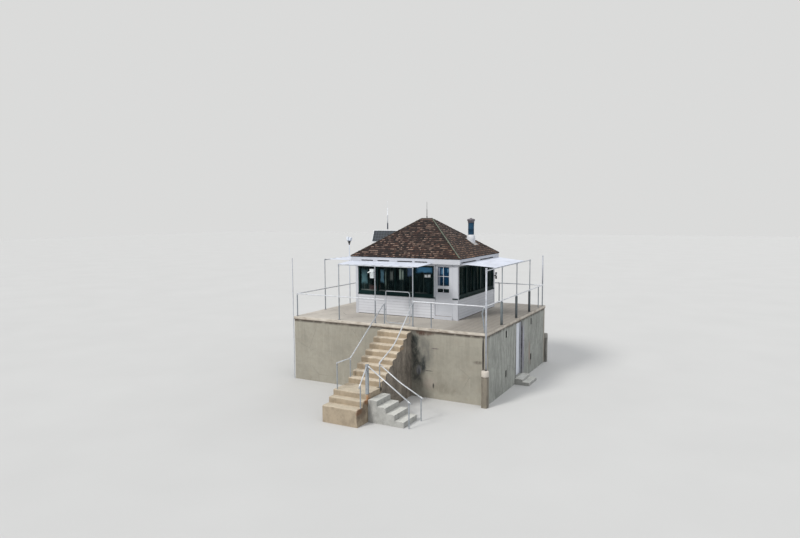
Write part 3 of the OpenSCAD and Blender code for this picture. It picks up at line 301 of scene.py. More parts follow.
def step_concrete(name, base, riser, dirt=0.5, marks=(), side=None):
    """Concrete of the steps: paler on the treads, partly painted light from above, browner and streaked on the
    upright faces, partly painted shade, dark grit in patches and the marks given, of rust, grime and painted
    shade; the right side may have its own colour, partly grime and partly painted shade."""
    f = Finish(name, 0.9)
    facing = f.facing()
    blotch = f.noise(2.1, 7.0, 0.65)
    run = f.noise(3.0, 6.0, 0.68, (1.3, 1.3, 0.8), (2, 6, 1))
    f.colour = f.tones(run, riser, (0.30, 0.74), (0.50, 1), (0.72, 1.15))
    # Treads paler than the upright faces: partly painted light from above, partly the risers' browner colour
    f.layer(f.tones(blotch, base, (0.30, 0.80), (0.52, 1), (0.72, 1.12)), f.span(facing[2], 0.35, 0.8))
    # The right side's own darker colour is partly grime and partly painted shade
    if side:
        streak = f.noise(2.4, 6.0, 0.7, (1, 1, 0.5), (6, 1, 3))
        f.layer(f.tones(streak, side, (0.34, 0.55), (0.50, 1), (0.68, 1.5)), f.span(facing[0], 0.55, 0.85))
    f.layer(scaled(riser, 0.45), dirt, f.noise(7.0, 6.0, 0.7, (1, 1, 1), (3, 3, 8)), 0.52, 0.70)
    grain = f.sand(80.0, 0.5)
    f.stains_and_shade(marks)
    f.rough(blotch, 0.7, grain, 0.5, 0.5, 0.008)
    return f.done()


def white_paint(name, base, dirt=0.35, lap=False, marks=()):
    """Old white oil paint on boards: brush lines along the grain, grime in patches, a few bare spots; on
    lap boards a painted grey shadow line lies under each butt."""
    f = Finish(name, 0.55)
    brush = f.noise(18.0, 5.0, 0.6, (0.35, 0.35, 5.0))
    f.colour = f.tones(brush, base, (0.30, 0.93), (0.6, 1))
    grime = f.noise(2.6, 6.0, 0.65)
    f.layer(scaled(base, 0.72), dirt, grime, 0.5, 0.75)
    f.layer((150, 140, 126), 0.55, f.noise(9.0, 6.0, 0.7, (0.6, 0.6, 3.0), (4, 2, 8)), 0.70, 0.74)
    if lap:
        # Painted shadow line under each board's butt, in patches
        row = f.within(f.math("SUBTRACT", f.axis(2), FOOT_GAP - GROUND), BOARD_H)
        under = f.times(f.span(row, 0.76, 0.95), f.ramp(f.noise(1.3, 3.0), [(0.30, 0.35), (0.6, 1.0)]))
        f.layer(scaled(base, 0.45), f.times(under, 0.55))
    f.stains_and_shade(marks)
    f.bump(brush, 0.18, 0.002)
    return f.done(f.span(grime, 0.3, 0.8, 0.45, 0.7))


def zinc_pipe(name, base, rust=0.3):
    """Dull galvanised pipe: pale grey spangle, dark handling marks, rust in spots."""
    f = Finish(name, 0.5, 0.35)
    f.colour = f.mix(0.10, base, f.cells(120.0, output="Color"), "OVERLAY")
    wear = f.noise(7.0, 6.0, 0.65)
    f.layer(scaled(base, 0.55), 0.5, wear, 0.45, 0.7)
    f.layer((128, 82, 52), rust, f.noise(15.0, 6.0, 0.7, (1, 1, 0.6), (2, 5, 3)), 0.60, 0.72)
    f.bump(wear, 0.12, 0.002)
    return f.done(f.span(wear, 0.3, 0.75, 0.42, 0.68))


def metal_paint(name, base, roughness=0.45, rust=0.0, shine=0.5):
    """Painted sheet metal with faded patches and rust specks."""
    f = Finish(name, roughness, shine=shine)
    fade = f.noise(3.5, 6.0, 0.6)
    f.colour = f.tones(fade, base, (0.3, 0.82), (0.7, 1.12))
    f.layer((120, 78, 50), rust, f.noise(24.0, 5.0, 0.7), 0.62, 0.72)
    f.bump(fade, 0.15, 0.002)
    return f.done(f.span(fade, 0.2, 0.8, roughness - 0.1, roughness + 0.15))


def window_pane(name, tint, glints):
    """Dark window glass: its dark colour is painted shade of the dim room behind, with thin upright folds of
    grey-green, most on the right side; each glint is a soft-edged rectangle: its x, z, half width and half
    height, colour and strength, and most glints are painted reflections of sky and painted highlights."""
    f = Finish(name, 0.10, shine=0.0)
    # The base colour is painted shade of the dim room behind the glass
    f.colour = f.tones(f.noise(2.2, 5.0, 0.65, (1.4, 1.4, 0.35)), tint, (0.36, 0.30), (0.56, 1), (0.76, 2.6))
    strong = f.math("ADD", f.times(f.span(f.axis(0), 2.38, 2.45), 0.60), 0.25)
    f.layer((116, 128, 118), strong, f.noise(3.0, 4.0, 0.7, (6.5, 6.5, 0.12), (1, 7, 3)), 0.54, 0.66)
    # Glints: most are painted reflections of the sky and painted highlights
    for x, z, w, h, shine, strength in glints:
        f.layer(shine, f.times(f.spot((x, 2.25, z), (w, 0.2, h), 0.45, 0.22, 6.0, True), strength))
    f.put(f.bsdf.inputs["Alpha"], 0.90)
    f.bump(f.noise(1.5, 2.0), 0.04, 0.01)
    return f.done()


def floor_board(name):
    """Worn brown floor boards running across the room, with dark seams."""
    f = Finish(name, 0.7)
    seam = f.math("LESS_THAN", f.within(f.axis(1), 0.10), 0.05)
    grain = f.noise(30.0, 5.0, 0.6, (0.15, 3.0, 1.0))
    f.colour = f.ramp(grain, [(0.3, (92, 70, 48)), (0.7, (134, 106, 76))])
    f.layer((30, 24, 18), seam)
    f.bump(f.math("SUBTRACT", grain, seam), 0.3, 0.004)
    return f.done()


def on_front(*rows):
    """Marks on the front wall from rows of x, z, half width and half height, then the rest of each mark."""
    return [((x, 0.0, z), (w, 0.4, h), *rest) for x, z, w, h, *rest in rows]


def on_right(*rows, x=BASE_W):
    """Marks on the right wall from rows of y, z, depth, half width and half height, then the rest."""
    return [((x, y, z), (deep, w, h), *rest) for y, z, deep, w, h, *rest in rows]


BLUE_STAIN_AND_SHADE, COOL_STAIN, COOL = (60, 63, 60), (98, 98, 94), (160, 162, 156)
finish = {
    "concrete_warm": poured_concrete(
        "concrete_warm", (163, 158, 147), 0.40, WALL_TOP, LIFT, rust=0.05, fine=0.45, ends=True),
    "concrete_cool": poured_concrete(
        "concrete_cool", (162, 163, 157), 0.28, WALL_TOP, LIFT, (98, 98, 92), fine=0.42),
    "concrete_deck": poured_concrete("concrete_deck", (206, 198, 186), 0.0, rust=0.08, contrast=0.6),
    "concrete_pale": step_concrete("concrete_pale", (212, 212, 206), (172, 172, 168), 0.3),
    "white_paint": white_paint("white_paint", (194, 197, 204), 0.22),
    "green_paint": metal_paint("green_paint", (6, 36, 36), 0.6, 0.05, 0.15),
    "floor_boards": floor_board("floor_boards"),
    "clear_glass": window_pane("clear_glass", (26, 39, 41), [
        (2.45, 1.75, 0.20, 0.38, (84, 116, 124), 0.85), (3.42, 1.80, 0.11, 0.34, (100, 138, 156), 0.85),
        (3.60, 1.70, 0.045, 0.40, (112, 130, 124), 0.8), (3.92, 1.84, 0.10, 0.26, (116, 124, 120), 0.85),
        (4.37, 1.92, 0.060, 0.27, (168, 186, 176), 0.9), (4.50, 1.90, 0.055, 0.25, (160, 178, 170), 0.85),
        (4.89, 2.06, 0.16, 0.24, (92, 112, 140), 0.85), (5.67, 2.24, 0.52, 0.22, (84, 140, 180), 0.9),
        (5.68, 1.905, 0.075, 0.075, (236, 240, 242), 1.0), (5.85, 1.91, 0.085, 0.075, (236, 240, 242), 1.0),
        (3.9, 1.11, 1.9, 0.055, (140, 148, 144), 0.6), (3.0, 1.25, 0.35, 0.14, (96, 78, 78), 0.5),
        (6.60, 2.00, 0.36, 0.60, (20, 54, 82), 0.9), (6.53, 2.15, 0.06, 0.16, (104, 146, 176), 0.6),
        (6.80, 2.2, 0.05, 0.10, (104, 146, 176), 0.5), (6.36, 1.9, 0.06, 0.60, (140, 148, 164), 0.8)]),
    "pipe_steel": zinc_pipe("pipe_steel", (206, 209, 213), 0.25),
    "canvas": white_paint("canvas_plain", (226, 228, 236), 0.1),
    "shingle": metal_paint("shingle_plain", (70, 56, 50), 0.85),
    "cap_green": metal_paint("cap_green", (124, 130, 116), 0.8, 0.3),
    "flue_steel": metal_paint("flue_steel", (26, 62, 86), 0.7, 0.10, 0.25),
    "white_metal": metal_paint("white_metal", (214, 216, 220), 0.45, 0.08),
    "panel_cells": metal_paint("panel_cells", (74, 80, 86), 0.2),
    "dark_metal": metal_paint("dark_metal", (46, 47, 50), 0.5, 0.3),
}
special = {node: zinc_pipe(node + "_zinc", tone) for node, tone in (
    ("rail_posts", (144, 151, 158)), ("awning_poles", (168, 174, 180)), ("corner_mast", (206, 210, 215)),
    ("gate", (170, 175, 181)), ("stair_posts", (158, 164, 170)), ("deck_rails", (210, 213, 218)),
    ("awning_pipes", (184, 189, 195)))}
# The two dark upright bands on the base door's leaf are painted shade
special["base_door"] = white_paint("base_door_paint", (226, 230, 238), 0.3, marks=on_right(
    (3.93, -1.6, 0.3, 0.13, 1.6, (46, 48, 56), 1.2, 0.1),
    (4.60, -1.5, 0.3, 0.06, 1.7, (70, 66, 78), 1.2, 0.2), x=9.40))
lintel_marks = on_right(
    (4.45, -0.50, 0.3, 0.55, 0.12, (206, 206, 214), 1.3, 0.5),
    (4.2, -0.38, 0.3, 0.3, 0.05, (60, 58, 60), 1.2, 0.3))
special["base_door_lintel"] = poured_concrete(
    "lintel_concrete", COOL, 0.28, WALL_TOP, LIFT, COOL_STAIN, fine=0.4, marks=lintel_marks)
# Right of the stairs the dark blue-black streaks are partly stain and partly painted shade, and the first
# mark, a soft grey round them, is painted shade
front_marks = on_front(
    (6.70, -1.05, 0.50, 1.0, (104, 104, 100), 0.75, 0.3), (6.26, -0.80, 0.26, 1.0, BLUE_STAIN_AND_SHADE, 1.0, 0.25),
    (6.36, -1.85, 0.40, 0.95, BLUE_STAIN_AND_SHADE, 0.85, 0.35), (6.66, -1.58, 0.17, 0.50, (52, 56, 56), 1.0, 0.3),
    (6.44, -1.80, 0.15, 0.24, (136, 137, 144), 1.0, 0.35), (6.46, -1.85, 0.035, 0.20, (40, 42, 42), 1.2, 0.3),
    (6.95, -2.30, 0.34, 0.36, (166, 156, 146), 0.8, 0.4), (7.12, -2.40, 0.05, 0.14, (40, 44, 44), 1.2, 0.2),
    (6.90, -1.79, 0.24, 0.028, (86, 84, 80), 1.2, 0.05), (7.20, -0.83, 0.22, 0.035, (110, 100, 98), 1.0, 0.1),
    (6.65, -0.22, 0.50, 0.13, (86, 66, 56), 1.0, 0.4), (9.297, -0.90, 0.042, 0.95, (30, 25, 25), 2.2, 0.03),
    (9.28, -1.9, 0.05, 0.5, (84, 52, 38), 1.5, 0.2), (9.1, -1.2, 0.25, 0.10, (96, 88, 80), 0.8, 0.5),
    (7.6, -2.5, 0.9, 0.30, (120, 114, 102), 0.5, 0.5))
special["base_front_wall"] = poured_concrete(
    "front_wall_concrete", (160, 156, 144), 0.16, WALL_TOP, LIFT, rust=0.04, contrast=0.7, fine=0.45,
    ends=True, marks=front_marks)
# Right walls: the dark marks round the two vent slots are painted shade in the slots, and the near half's dark
# line at the doorway's edge is painted shade
for half, y, more in (
        ("near", 2.38, [(3.730, -1.5, 0.05, 0.045, 1.6, (30, 28, 28), 2.0, 0.05)]),
        ("far", 6.04, [(4.82, -1.50, 0.3, 0.20, 1.30, (164, 163, 174), 1.2, 0.15, True),
                       (4.69, -1.50, 0.3, 0.05, 1.30, (66, 62, 72), 1.6, 0.15, True),
                       (4.90, -1.9, 0.3, 0.05, 0.8, (84, 80, 90), 1.2, 0.5),
                       (6.00, -2.35, 0.5, 0.05, 0.40, (64, 34, 28), 1.2, 0.2),
                       (5.80, -1.9, 0.5, 0.18, 0.7, (158, 128, 118), 0.5, 0.5)])):
    slot_shadows = [(y, z, 0.50, 0.085, 0.17, (20, 18, 17), 3.0, 0.04, True) for z in (-0.45, -2.17)]
    special["base_right_wall_" + half] = poured_concrete(
        half + "_wall_concrete", COOL, 0.28, WALL_TOP, LIFT, COOL_STAIN, fine=0.45,
        marks=on_right(*slot_shadows, *more))
for part in frame["record"]["subparts"]:
    mesh = nodes[part["node"]].data
    mesh.materials.clear()
    mesh.materials.append(special.get(part["node"], finish[part["material_slot"]]))

# Shapes made of whole arrays, in deck places
BOX_FACES = np.array([[0, 3, 2, 1], [4, 5, 6, 7], [0, 1, 5, 4], [1, 2, 6, 5], [2, 3, 7, 6], [3, 0, 4, 7]])
BOX_PICK = np.array([[0, 0, 0], [1, 0, 0], [1, 1, 0], [0, 1, 0], [0, 0, 1], [1, 0, 1], [1, 1, 1], [0, 1, 1]])


def blocks(corners):
    """Closed six-sided solids from eight corners each: a lower ring, then the ring over it, both
    anticlockwise seen from above. Gives points and faces."""
    c = np.asarray(corners, float).reshape(-1, 8, 3)
    return c.reshape(-1, 3), (BOX_FACES[None] + 8 * np.arange(len(c))[:, None, None]).reshape(-1, 4)


def brick(low, high):
    """Corners of upright boxes that reach from each low place to each high place."""
    low, high = np.broadcast_arrays(np.asarray(low, float), np.asarray(high, float))
    return np.where(BOX_PICK == 1, high[..., None, :], low[..., None, :])


def joined(shapes):
    """Several shapes as one, the faces' numbers moved past the points before them. A shape is points with
    faces, or the corners of blocks."""
    shapes = [blocks(s) if isinstance(s, np.ndarray) else s for s in shapes]
    starts = np.cumsum([0] + [len(p) for p, _ in shapes[:-1]])
    faces = [f + k for (_, f), k in zip(shapes, starts)]
    return np.concatenate([p for p, _ in shapes]), np.concatenate(faces)


def grid_faces(rows, cols, wrap=False):
    """Quads between neighbouring rows and columns of points; wrap joins the last column to the first."""
    i, j = np.meshgrid(np.arange(rows - 1), np.arange(cols if wrap else cols - 1), indexing="ij")
    k = (j + 1) % cols
    return np.stack([i * cols + j, i * cols + k, (i + 1) * cols + k, (i + 1) * cols + j], -1).reshape(-1, 4)


def unit(v):
    """Vectors scaled to length one."""
    return v / np.linalg.norm(v, axis=-1, keepdims=True)


def swept(path, radius, sides=16, swell=1.0):
    """A round pipe: at each point of path a ring of the radius stands square to the path's mean direction
    there, its start side kept as level as the path allows, and both ends close to a point at the middle."""
    path = np.asarray(path, float)
    leg = unit(np.diff(path, axis=0))
    step = unit(np.concatenate([leg[:1], leg[1:] + leg[:-1], leg[-1:]]))
    level = np.cross(step, (0, 0, 1.0))
    flat = np.linalg.norm(level, axis=1, keepdims=True)
    level = np.where(flat > 0.05, level / np.maximum(flat, 1e-9), (1.0, 0, 0))
    over = np.cross(level, step)
    turn = 2 * np.pi * np.arange(sides) / sides
    r = radius * np.broadcast_to(swell, len(path))
    ring = np.cos(turn)[None, :, None] * level[:, None] + np.sin(turn)[None, :, None] * over[:, None]
    rings = path[:, None] + r[:, None, None] * ring
    rings = np.concatenate([np.repeat(path[None, :1], sides, 1), rings, np.repeat(path[None, -1:], sides, 1)])
    return rings.reshape(-1, 3), grid_faces(len(path) + 2, sides, True)[:, ::-1]


def upright(x, y, heights, radius, sides=20):
    """A straight upright pipe at a plan place, with a ring at each of its heights."""
    return swept([(x, y, z) for z in heights], radius, sides)


def turned(centre, profile, sides=20):
    """An upright turned shape: each (radius, height) of the profile, from its foot up, goes round centre,
    a plan place or one with a height."""
    profile = np.asarray(profile, float)
    turn = 2 * np.pi * np.arange(sides) / sides
    ring = np.stack([np.cos(turn), np.sin(turn), 0 * turn], -1)
    rings = profile[:, 0, None, None] * ring[None] + profile[:, 1, None, None] * np.array([0, 0, 1.0])
    centre = np.array((*centre, 0.0)[:3])
    return (rings + centre).reshape(-1, 3), grid_faces(len(profile), sides, True)


def ripple(a, b, size, seed=0):
    """Smooth chance waves over two lengths, 0 to 1: random heights on a square lattice of the size, joined
    by a smooth step along both lengths."""
    table = np.random.default_rng(seed).random((64, 64))
    a, b = np.broadcast_arrays(np.asarray(a, float) / size, np.asarray(b, float) / size)
    i, j = np.floor(a).astype(int), np.floor(b).astype(int)
    s, t = a - i, b - j
    s, t = s * s * (3 - 2 * s), t * t * (3 - 2 * t)
    row = lambda q: table[i % 64, q % 64] * (1 - s) + table[(i + 1) % 64, q % 64] * s
    return row(j) * (1 - t) + row(j + 1) * t


def add_piece(name, shape, slot, look=None, cad=None, body="lookout", smooth=False, marks=None, uv=None,
              solid=False):
    """A mesh object from deck places, with doubles at its poles merged, its finish and its body. A list of
    shapes is joined, marks are named numbers, one for each point, cad is the node that it replaces, and a
    solid has its faces turned outwards once its seams are merged."""
    points, faces = joined(shape) if isinstance(shape, list) else shape
    mesh = bpy.data.meshes.new(name)
    mesh.from_pydata(on_deck(points).tolist(), [], faces if isinstance(faces, list) else faces.tolist())
    for key, values in (marks or {}).items():
        mesh.attributes.new(key, "FLOAT", "POINT").data.foreach_set("value", np.asarray(values, np.float32))
    if uv is not None:
        corner = np.empty(len(mesh.loops), np.int32)
        mesh.loops.foreach_get("vertex_index", corner)
        mesh.uv_layers.new(name="cloth").data.foreach_set("uv", np.asarray(uv, np.float32)[corner].ravel())
    if not marks and uv is None:
        work = bmesh.new()
        work.from_mesh(mesh)
        bmesh.ops.remove_doubles(work, verts=work.verts, dist=1e-5)
        bmesh.ops.delete(work, geom=[v for v in work.verts if not v.link_faces], context="VERTS")
        if solid:
            bmesh.ops.recalc_face_normals(work, faces=work.faces)
        work.to_mesh(mesh)
        work.free()
    mesh.validate()
    mesh.shade_smooth() if smooth else mesh.shade_flat()
    piece = bpy.data.objects.new(name, mesh)
    bpy.context.scene.collection.objects.link(piece)
    mesh.materials.append(look or finish[slot])
    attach(piece, body)
    if cad:
        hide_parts(cad)
    return piece


# Roof: split shingles in courses on each slope, over a closed slab
SLOPE_V = (EAVE_Y1 - EAVE_Y0) / 2 / math.cos(PITCH)
COURSES, BUTT = 22, 0.014
# Each slope's lower corner, its directions along the eave and inwards, and its width
slopes = [
    ((EAVE_X0, EAVE_Y0), (1, 0), (0, 1), EAVE_X1 - EAVE_X0),
    ((EAVE_X1, EAVE_Y0), (0, 1), (-1, 0), EAVE_Y1 - EAVE_Y0),
    ((EAVE_X1, EAVE_Y1), (-1, 0), (0, -1), EAVE_X1 - EAVE_X0),
    ((EAVE_X0, EAVE_Y1), (0, -1), (1, 0), EAVE_Y1 - EAVE_Y0),
]


def slope_places(number, uvh):
    """A slope's own places as deck places: u along the eave, v up the slope, h square to it, outwards."""
    corner, along, inward = (np.array((*a, z), float) for a, z in zip(slopes[number], (EAVE_Z, 0, 0)))
    up = inward * math.cos(PITCH) + np.array([0, 0, math.sin(PITCH)])
    out = -inward * math.sin(PITCH) + np.array([0, 0, math.cos(PITCH)])
    return corner + uvh[..., :1] * along + uvh[..., 1:2] * up + uvh[..., 2:] * out


def shingle_slope(width):
    """One slope's shingles in its own places: courses of random widths with thin gaps, each shingle a
    wedge, thick at its butt and thin where the next course covers it, mitred on the hips."""
    exposure = SLOPE_V / COURSES
    rows = []
    for course in range(COURSES):
        wide = rng.uniform(0.070, 0.160, int(width / 0.070))
        u = np.concatenate([[-rng.uniform(0, 0.15)], wide]).cumsum()
        gap = rng.uniform(0.001, 0.003, len(wide))
        low = course * exposure + rng.normal(0, 0.0035, len(wide)) * (course > 0)
        high = np.full(len(wide), min((course + 1) * exposure + 0.018, SLOPE_V - 0.004))
        rows.append(np.stack([u[:-1] + gap, u[1:] - gap, low, high], -1))
    u0, u1, v0, v1 = np.concatenate(rows).T
    left = [np.maximum(u0, v * math.cos(PITCH)) for v in (v0, v1)]
    right = [np.minimum(u1, width - v * math.cos(PITCH)) for v in (v0, v1)]
    keep = (right[0] - left[0] > 0.012) & (rng.random(len(u0)) > 0.004)
    left[1] = np.minimum(left[1], right[0])
    right[1] = np.maximum(right[1], left[1] + 0.0005)
    ring = [(left[0], v0), (right[0], v0), (right[1], v1), (left[1], v1)]
    low = [np.stack([u, v, 0 * u - BUTT - 0.002], -1) for u, v in ring]
    lift = (-0.0005, -0.0005, 0.0015 - BUTT, 0.0015 - BUTT)
    high = [np.stack([u, v, 0 * u + h], -1) for (u, v), h in zip(ring, lift)]
    return np.stack(low + high, 1)[keep]


def roof_slab():
    """A closed hip-roof shell: four outer slopes a little under the shingles' faces, four inner ones,
    and the plumb band between them along the eaves."""
    half, mid = (EAVE_Y1 - EAVE_Y0) / 2, (EAVE_Y0 + EAVE_Y1) / 2
    plan = [(EAVE_X0, EAVE_Y0), (EAVE_X1, EAVE_Y0), (EAVE_X1, EAVE_Y1), (EAVE_X0, EAVE_Y1),
            (EAVE_X0 + half, mid), (EAVE_X1 - half, mid)]
    rise = np.array([0, 0, 0, 0, 1, 1]) * half * math.tan(PITCH)
    shells = [np.column_stack([plan, EAVE_Z + rise - drop / math.cos(PITCH)])
              for drop in (BUTT + 0.002, ROOF_T)]
    quads = [[0, 1, 5, 4], [2, 3, 4, 5], [7, 6, 10, 11], [9, 8, 11, 10],
             [0, 6, 7, 1], [1, 7, 8, 2], [2, 8, 9, 3], [3, 9, 6, 0]]
    return np.concatenate(shells), quads + [[1, 2, 5], [3, 0, 4], [8, 7, 11], [6, 9, 10]]


def shingle_roof():
    """All slopes' shingles and the slab under them, with each shingle's tone, its cream fleck and a mark
    that is one at its butt and zero at its head."""
    parts = [slope_places(number, shingle_slope(slope[3])) for number, slope in enumerate(slopes)]
    count = sum(len(part) for part in parts)
    points, faces = joined(parts)
    slab, slab_faces = roof_slab()
    tone = np.clip(rng.normal(0.43, 0.18, count), 0, 1)
    fleck = np.where(rng.random(count) < 0.42, rng.uniform(0.20, 1.0, count), 0.0)
    bare = np.zeros(len(slab))
    marks = {"tone": np.append(np.repeat(tone, 8), bare), "fleck": np.append(np.repeat(fleck, 8), bare),
             "butt": np.append(np.tile([1, 1, 0, 0, 1, 1, 0, 0], count), bare)}
    faces = faces.tolist() + [[len(points) + k for k in face] for face in slab_faces]
    return (np.concatenate([points, slab]), faces), marks


def shingle_look(name):
    """Split wood shingles: each its own brown with fine grain, a painted shadow band where the course above
    shades it and painted light towards the butt, cream or reddish butts in short dashes, partly wear and
    partly painted highlight, warmer on the right slope and darker towards the ridge."""
    f = Finish(name, 0.9)
    keys = "tone", "fleck", "butt"
    tone, fleck, butt = [f.node("Attribute", attribute_name=key).outputs["Fac"] for key in keys]
    f.colour = f.ramp(tone, [(0.03, (24, 19, 19)), (0.30, (52, 41, 38)), (0.58, (84, 67, 61)),
                             (0.84, (124, 98, 86)), (1.0, (170, 148, 136))])
    patch = f.noise(0.55, 4.0, 0.6)
    f.shade(f.ramp(patch, [(0.32, (160, 142, 138)), (0.55, (212, 196, 186)), (0.75, (226, 196, 168))]), 0.5)
    right = f.span(f.axis(0), 1.2, 2.7)
    f.layer(f.mix(0.4, f.colour, (170, 132, 110)), f.times(right, 0.30))
    grain = f.noise(34.0, 5.0, 0.65)
    f.shade(f.ramp(grain, [(0.30, 0.5), (0.62, 1.0)]), 0.5)
    # Painted shade below the course above, and painted light towards this shingle's butt
    shade = f.span(butt, 0.12, 0.85, 0.10, 1.28)
    f.shade(f.node("CombineColor", {0: shade, 1: shade, 2: shade}).outputs[0])
    # Butt dashes: partly worn end grain, partly painted highlight
    worn = f.times(f.times(fleck, f.span(butt, 0.60, 0.80)), f.past(grain, 0.34, 0.52))
    f.layer(f.mix(right, (222, 204, 188), (232, 204, 174)), worn)
    f.shade(f.mix(right, (190, 173, 168), (168, 151, 141)))
    f.layer((26, 21, 21), f.times(f.span(f.axis(2), 5.9, 7.3), 0.22))
    f.bump(grain, 0.5, 0.004)
    return f.done()


roof_mesh, roof_marks = shingle_roof()
add_piece("shingle_roof", roof_mesh, "shingle", shingle_look("shingle_wood"), "roof", marks=roof_marks)


def hip_boards(sides, pitch, wide, thick, ragged):
    """Boards laid over hips in pairs, one on each slope: each runs from its butt up under the next, its
    mitre edge on the hip's upright plane, its lower edge ragged by chance."""
    parts = []
    for number, flip in sides:
        v0 = np.arange(0.03, SLOPE_V - 0.10, pitch)
        v1 = np.minimum(v0 + pitch * 1.12, SLOPE_V - 0.06)
        w = wide * (1 + ragged * rng.uniform(-1, 0.3, len(v0)))
        ring = []
        for b0, b1 in ((0.0006, 0.0006), (thick, 0.35 * thick)):
            torn = v0 - ragged * 0.02 * rng.random(len(v0))
            for v, h, out in ((v0, b0, 0), (torn, b0, w), (v1, b1, w), (v1, b1, 0)):
                u = v * math.cos(PITCH) - h * math.sin(PITCH) + out + 0 * v
                ring.append(np.stack([slopes[number][3] - u if flip else u, v, h + 0 * v], -1))
        ring = np.stack(ring, 1)
        if flip:
            ring = ring[:, [1, 0, 3, 2, 5, 4, 7, 6]]
        parts.append(slope_places(number, ring))
    return parts


def ridge_boards(thick=0.012):
    """Pairs of boards over the ridge, one on each long slope, butts all towards one end on each slope."""
    half, width = (EAVE_Y1 - EAVE_Y0) / 2, EAVE_X1 - EAVE_X0
    u0 = np.arange(half - 0.02, width - half, 0.16)
    u1 = np.minimum(u0 + 0.18, width - half + 0.02)
    v0, v1 = SLOPE_V - 0.075, SLOPE_V + 0.0005
    ring = [np.stack([u, v + 0 * u, h + 0 * u], -1) for h0, h1 in ((0.0006, 0.0006), (thick, 0.4 * thick))
            for u, v, h in ((u0, v0, h0), (u1, v0, h1), (u1, v1, h1), (u0, v1, h0))]
    return [slope_places(number, np.stack(ring, 1)) for number in (0, 2)]


def cap_look(name, base):
    """Weathered cap strip: grey-green, with dirt and lichen in patches."""
    f = Finish(name, 0.85)
    patch = f.noise(5.0, 6.0, 0.68)
    f.colour = f.tones(patch, base, (0.34, 0.55), (0.50, 1), (0.72, 1.25))
    f.bump(patch, 0.4, 0.004)
    return f.done()


hips = [(0, False), (3, True), (1, True), (2, False), (2, True), (3, False)]
add_piece("hip_shingles", hip_boards(hips, 0.145, 0.062, 0.014, 0.5) + ridge_boards(), "cap_green",
          cap_look("dark_cap", (74, 64, 56)), "hip_caps")
add_piece("front_hip_strip", hip_boards([(0, True), (1, False)], 0.55, 0.042, 0.014, 0.12), "cap_green",
          cap_look("pale_cap", (104, 112, 98)))

# Lap boards on the walls, each wall with its first corner, its direction and the way it faces
walls = {
    "front": ((CAB_X0, CAB_Y0), (1, 0), (0, -1)),
    "right": ((CAB_X1, CAB_Y0), (0, 1), (1, 0)),
    "back": ((CAB_X1, CAB_Y1), (-1, 0), (0, 1)),
    "left": ((CAB_X0, CAB_Y1), (0, -1), (-1, 0)),
}
LAP_T = 0.018


def wall_places(side, uwz):
    """A wall's own places as deck places: u along it, w out of its face, z up."""
    corner, along, outward = (np.array((*a, 0.0)) for a in walls[side])
    face = corner - outward * WALL_SET
    return face + uwz[..., :1] * along + uwz[..., 1:2] * outward + uwz[..., 2:] * np.array([0, 0, 1.0])


def lap_boards(side, end):
    """Tapered boards from the corner post to end, thick at their lower edge, in rows up to the sill."""
    z = FOOT_GAP + BOARD_H * np.arange(LAP_ROWS)
    low_out = LAP_T + rng.normal(0, 0.0008, LAP_ROWS)
    flat = lambda value: value + 0 * z
    edges = (low_out, z), (0.3 * LAP_T, z + BOARD_H - 0.0006)
    ring = [np.stack([flat(u), flat(w), h], -1) for out, h in edges
            for u, w in ((POST, out), (end, out), (end, 0.0005), (POST, 0.0005))]
    return [wall_places(side, np.stack(ring, 1))]


siding = white_paint("siding_paint", (207, 209, 215), 0.18, lap=True)
lap_ends = {"front": DOOR_X0 - CAB_X0 - 0.001, "right": DEEP - POST, "back": WIDE - POST, "left": DEEP - POST}
for side, end in lap_ends.items():
    add_piece(side + "_lap_boards", lap_boards(side, end), "white_paint", siding)

# Dark gap along the walls' feet, the threshold, and the board that trims the wall right of the door
gap_ends = lap_ends | {"front": DOOR_X0 - CAB_X0 - 0.002}
gaps = [wall_places(side, brick([POST, 0.0004, 0.0], [end, 0.003, FOOT_GAP]))
        for side, end in gap_ends.items()]
add_piece("wall_foot_gap", gaps, "white_paint", metal_paint("foot_gap", (70, 66, 62), 0.9, 0.1))
side_board = brick([DOOR_X1 - CAB_X0 + 0.001, 0.0005, FOOT_GAP], [WIDE - POST - 0.002, 0.012, HEAD])
add_piece("door_side_board", [wall_places("front", side_board)], "white_paint")
sill = brick([DOOR_X0 + 0.002, 2.143, 0.0], [DOOR_X1 - 0.002, 2.1645, 0.149])
threshold = add_piece("door_threshold", [sill], "white_paint")
edge = threshold.modifiers.new("edge", "BEVEL")
edge.width, edge.segments = 0.004, 2


def frame_strips(x0, x1, z0, z1, y, w=0.020, t=0.010):
    """Four thin strips round a panel of the door, their width inwards and their thickness forwards."""
    for low, high in (((x0, z0), (x1, z0 + w)), ((x0, z1 - w), (x1, z1)),
                      ((x0, z0 + w), (x0 + w, z1 - w)), ((x1 - w, z0 + w), (x1, z1 - w))):
        yield brick([low[0], y - t, low[1]], [high[0], y - 0.0004, high[1]])


mouldings = [strip for z0, z1, y in ((0.388, 0.998, 2.2115), (1.192, 1.393, 2.2035), (1.492, 2.366, 2.2035))
             for strip in frame_strips(6.283, 6.876, z0, z1, y)]
add_piece("door_moulding", mouldings, "white_paint", body="cabin_door")


# Awnings: slack canvas between the cabin's eave and the outer pipes
CLOTH_ALONG, CLOTH_DEEP = 110, 34


def tie_ring(place):
    """A short lashing of cord from the hem down round the pipe below it: a loop of radius 27 mm."""
    turn = np.linspace(0, 2 * np.pi, 17)
    return np.asarray(place) + np.stack([0 * turn, 0.027 * np.sin(turn), -0.027 + 0.027 * np.cos(turn)], -1)


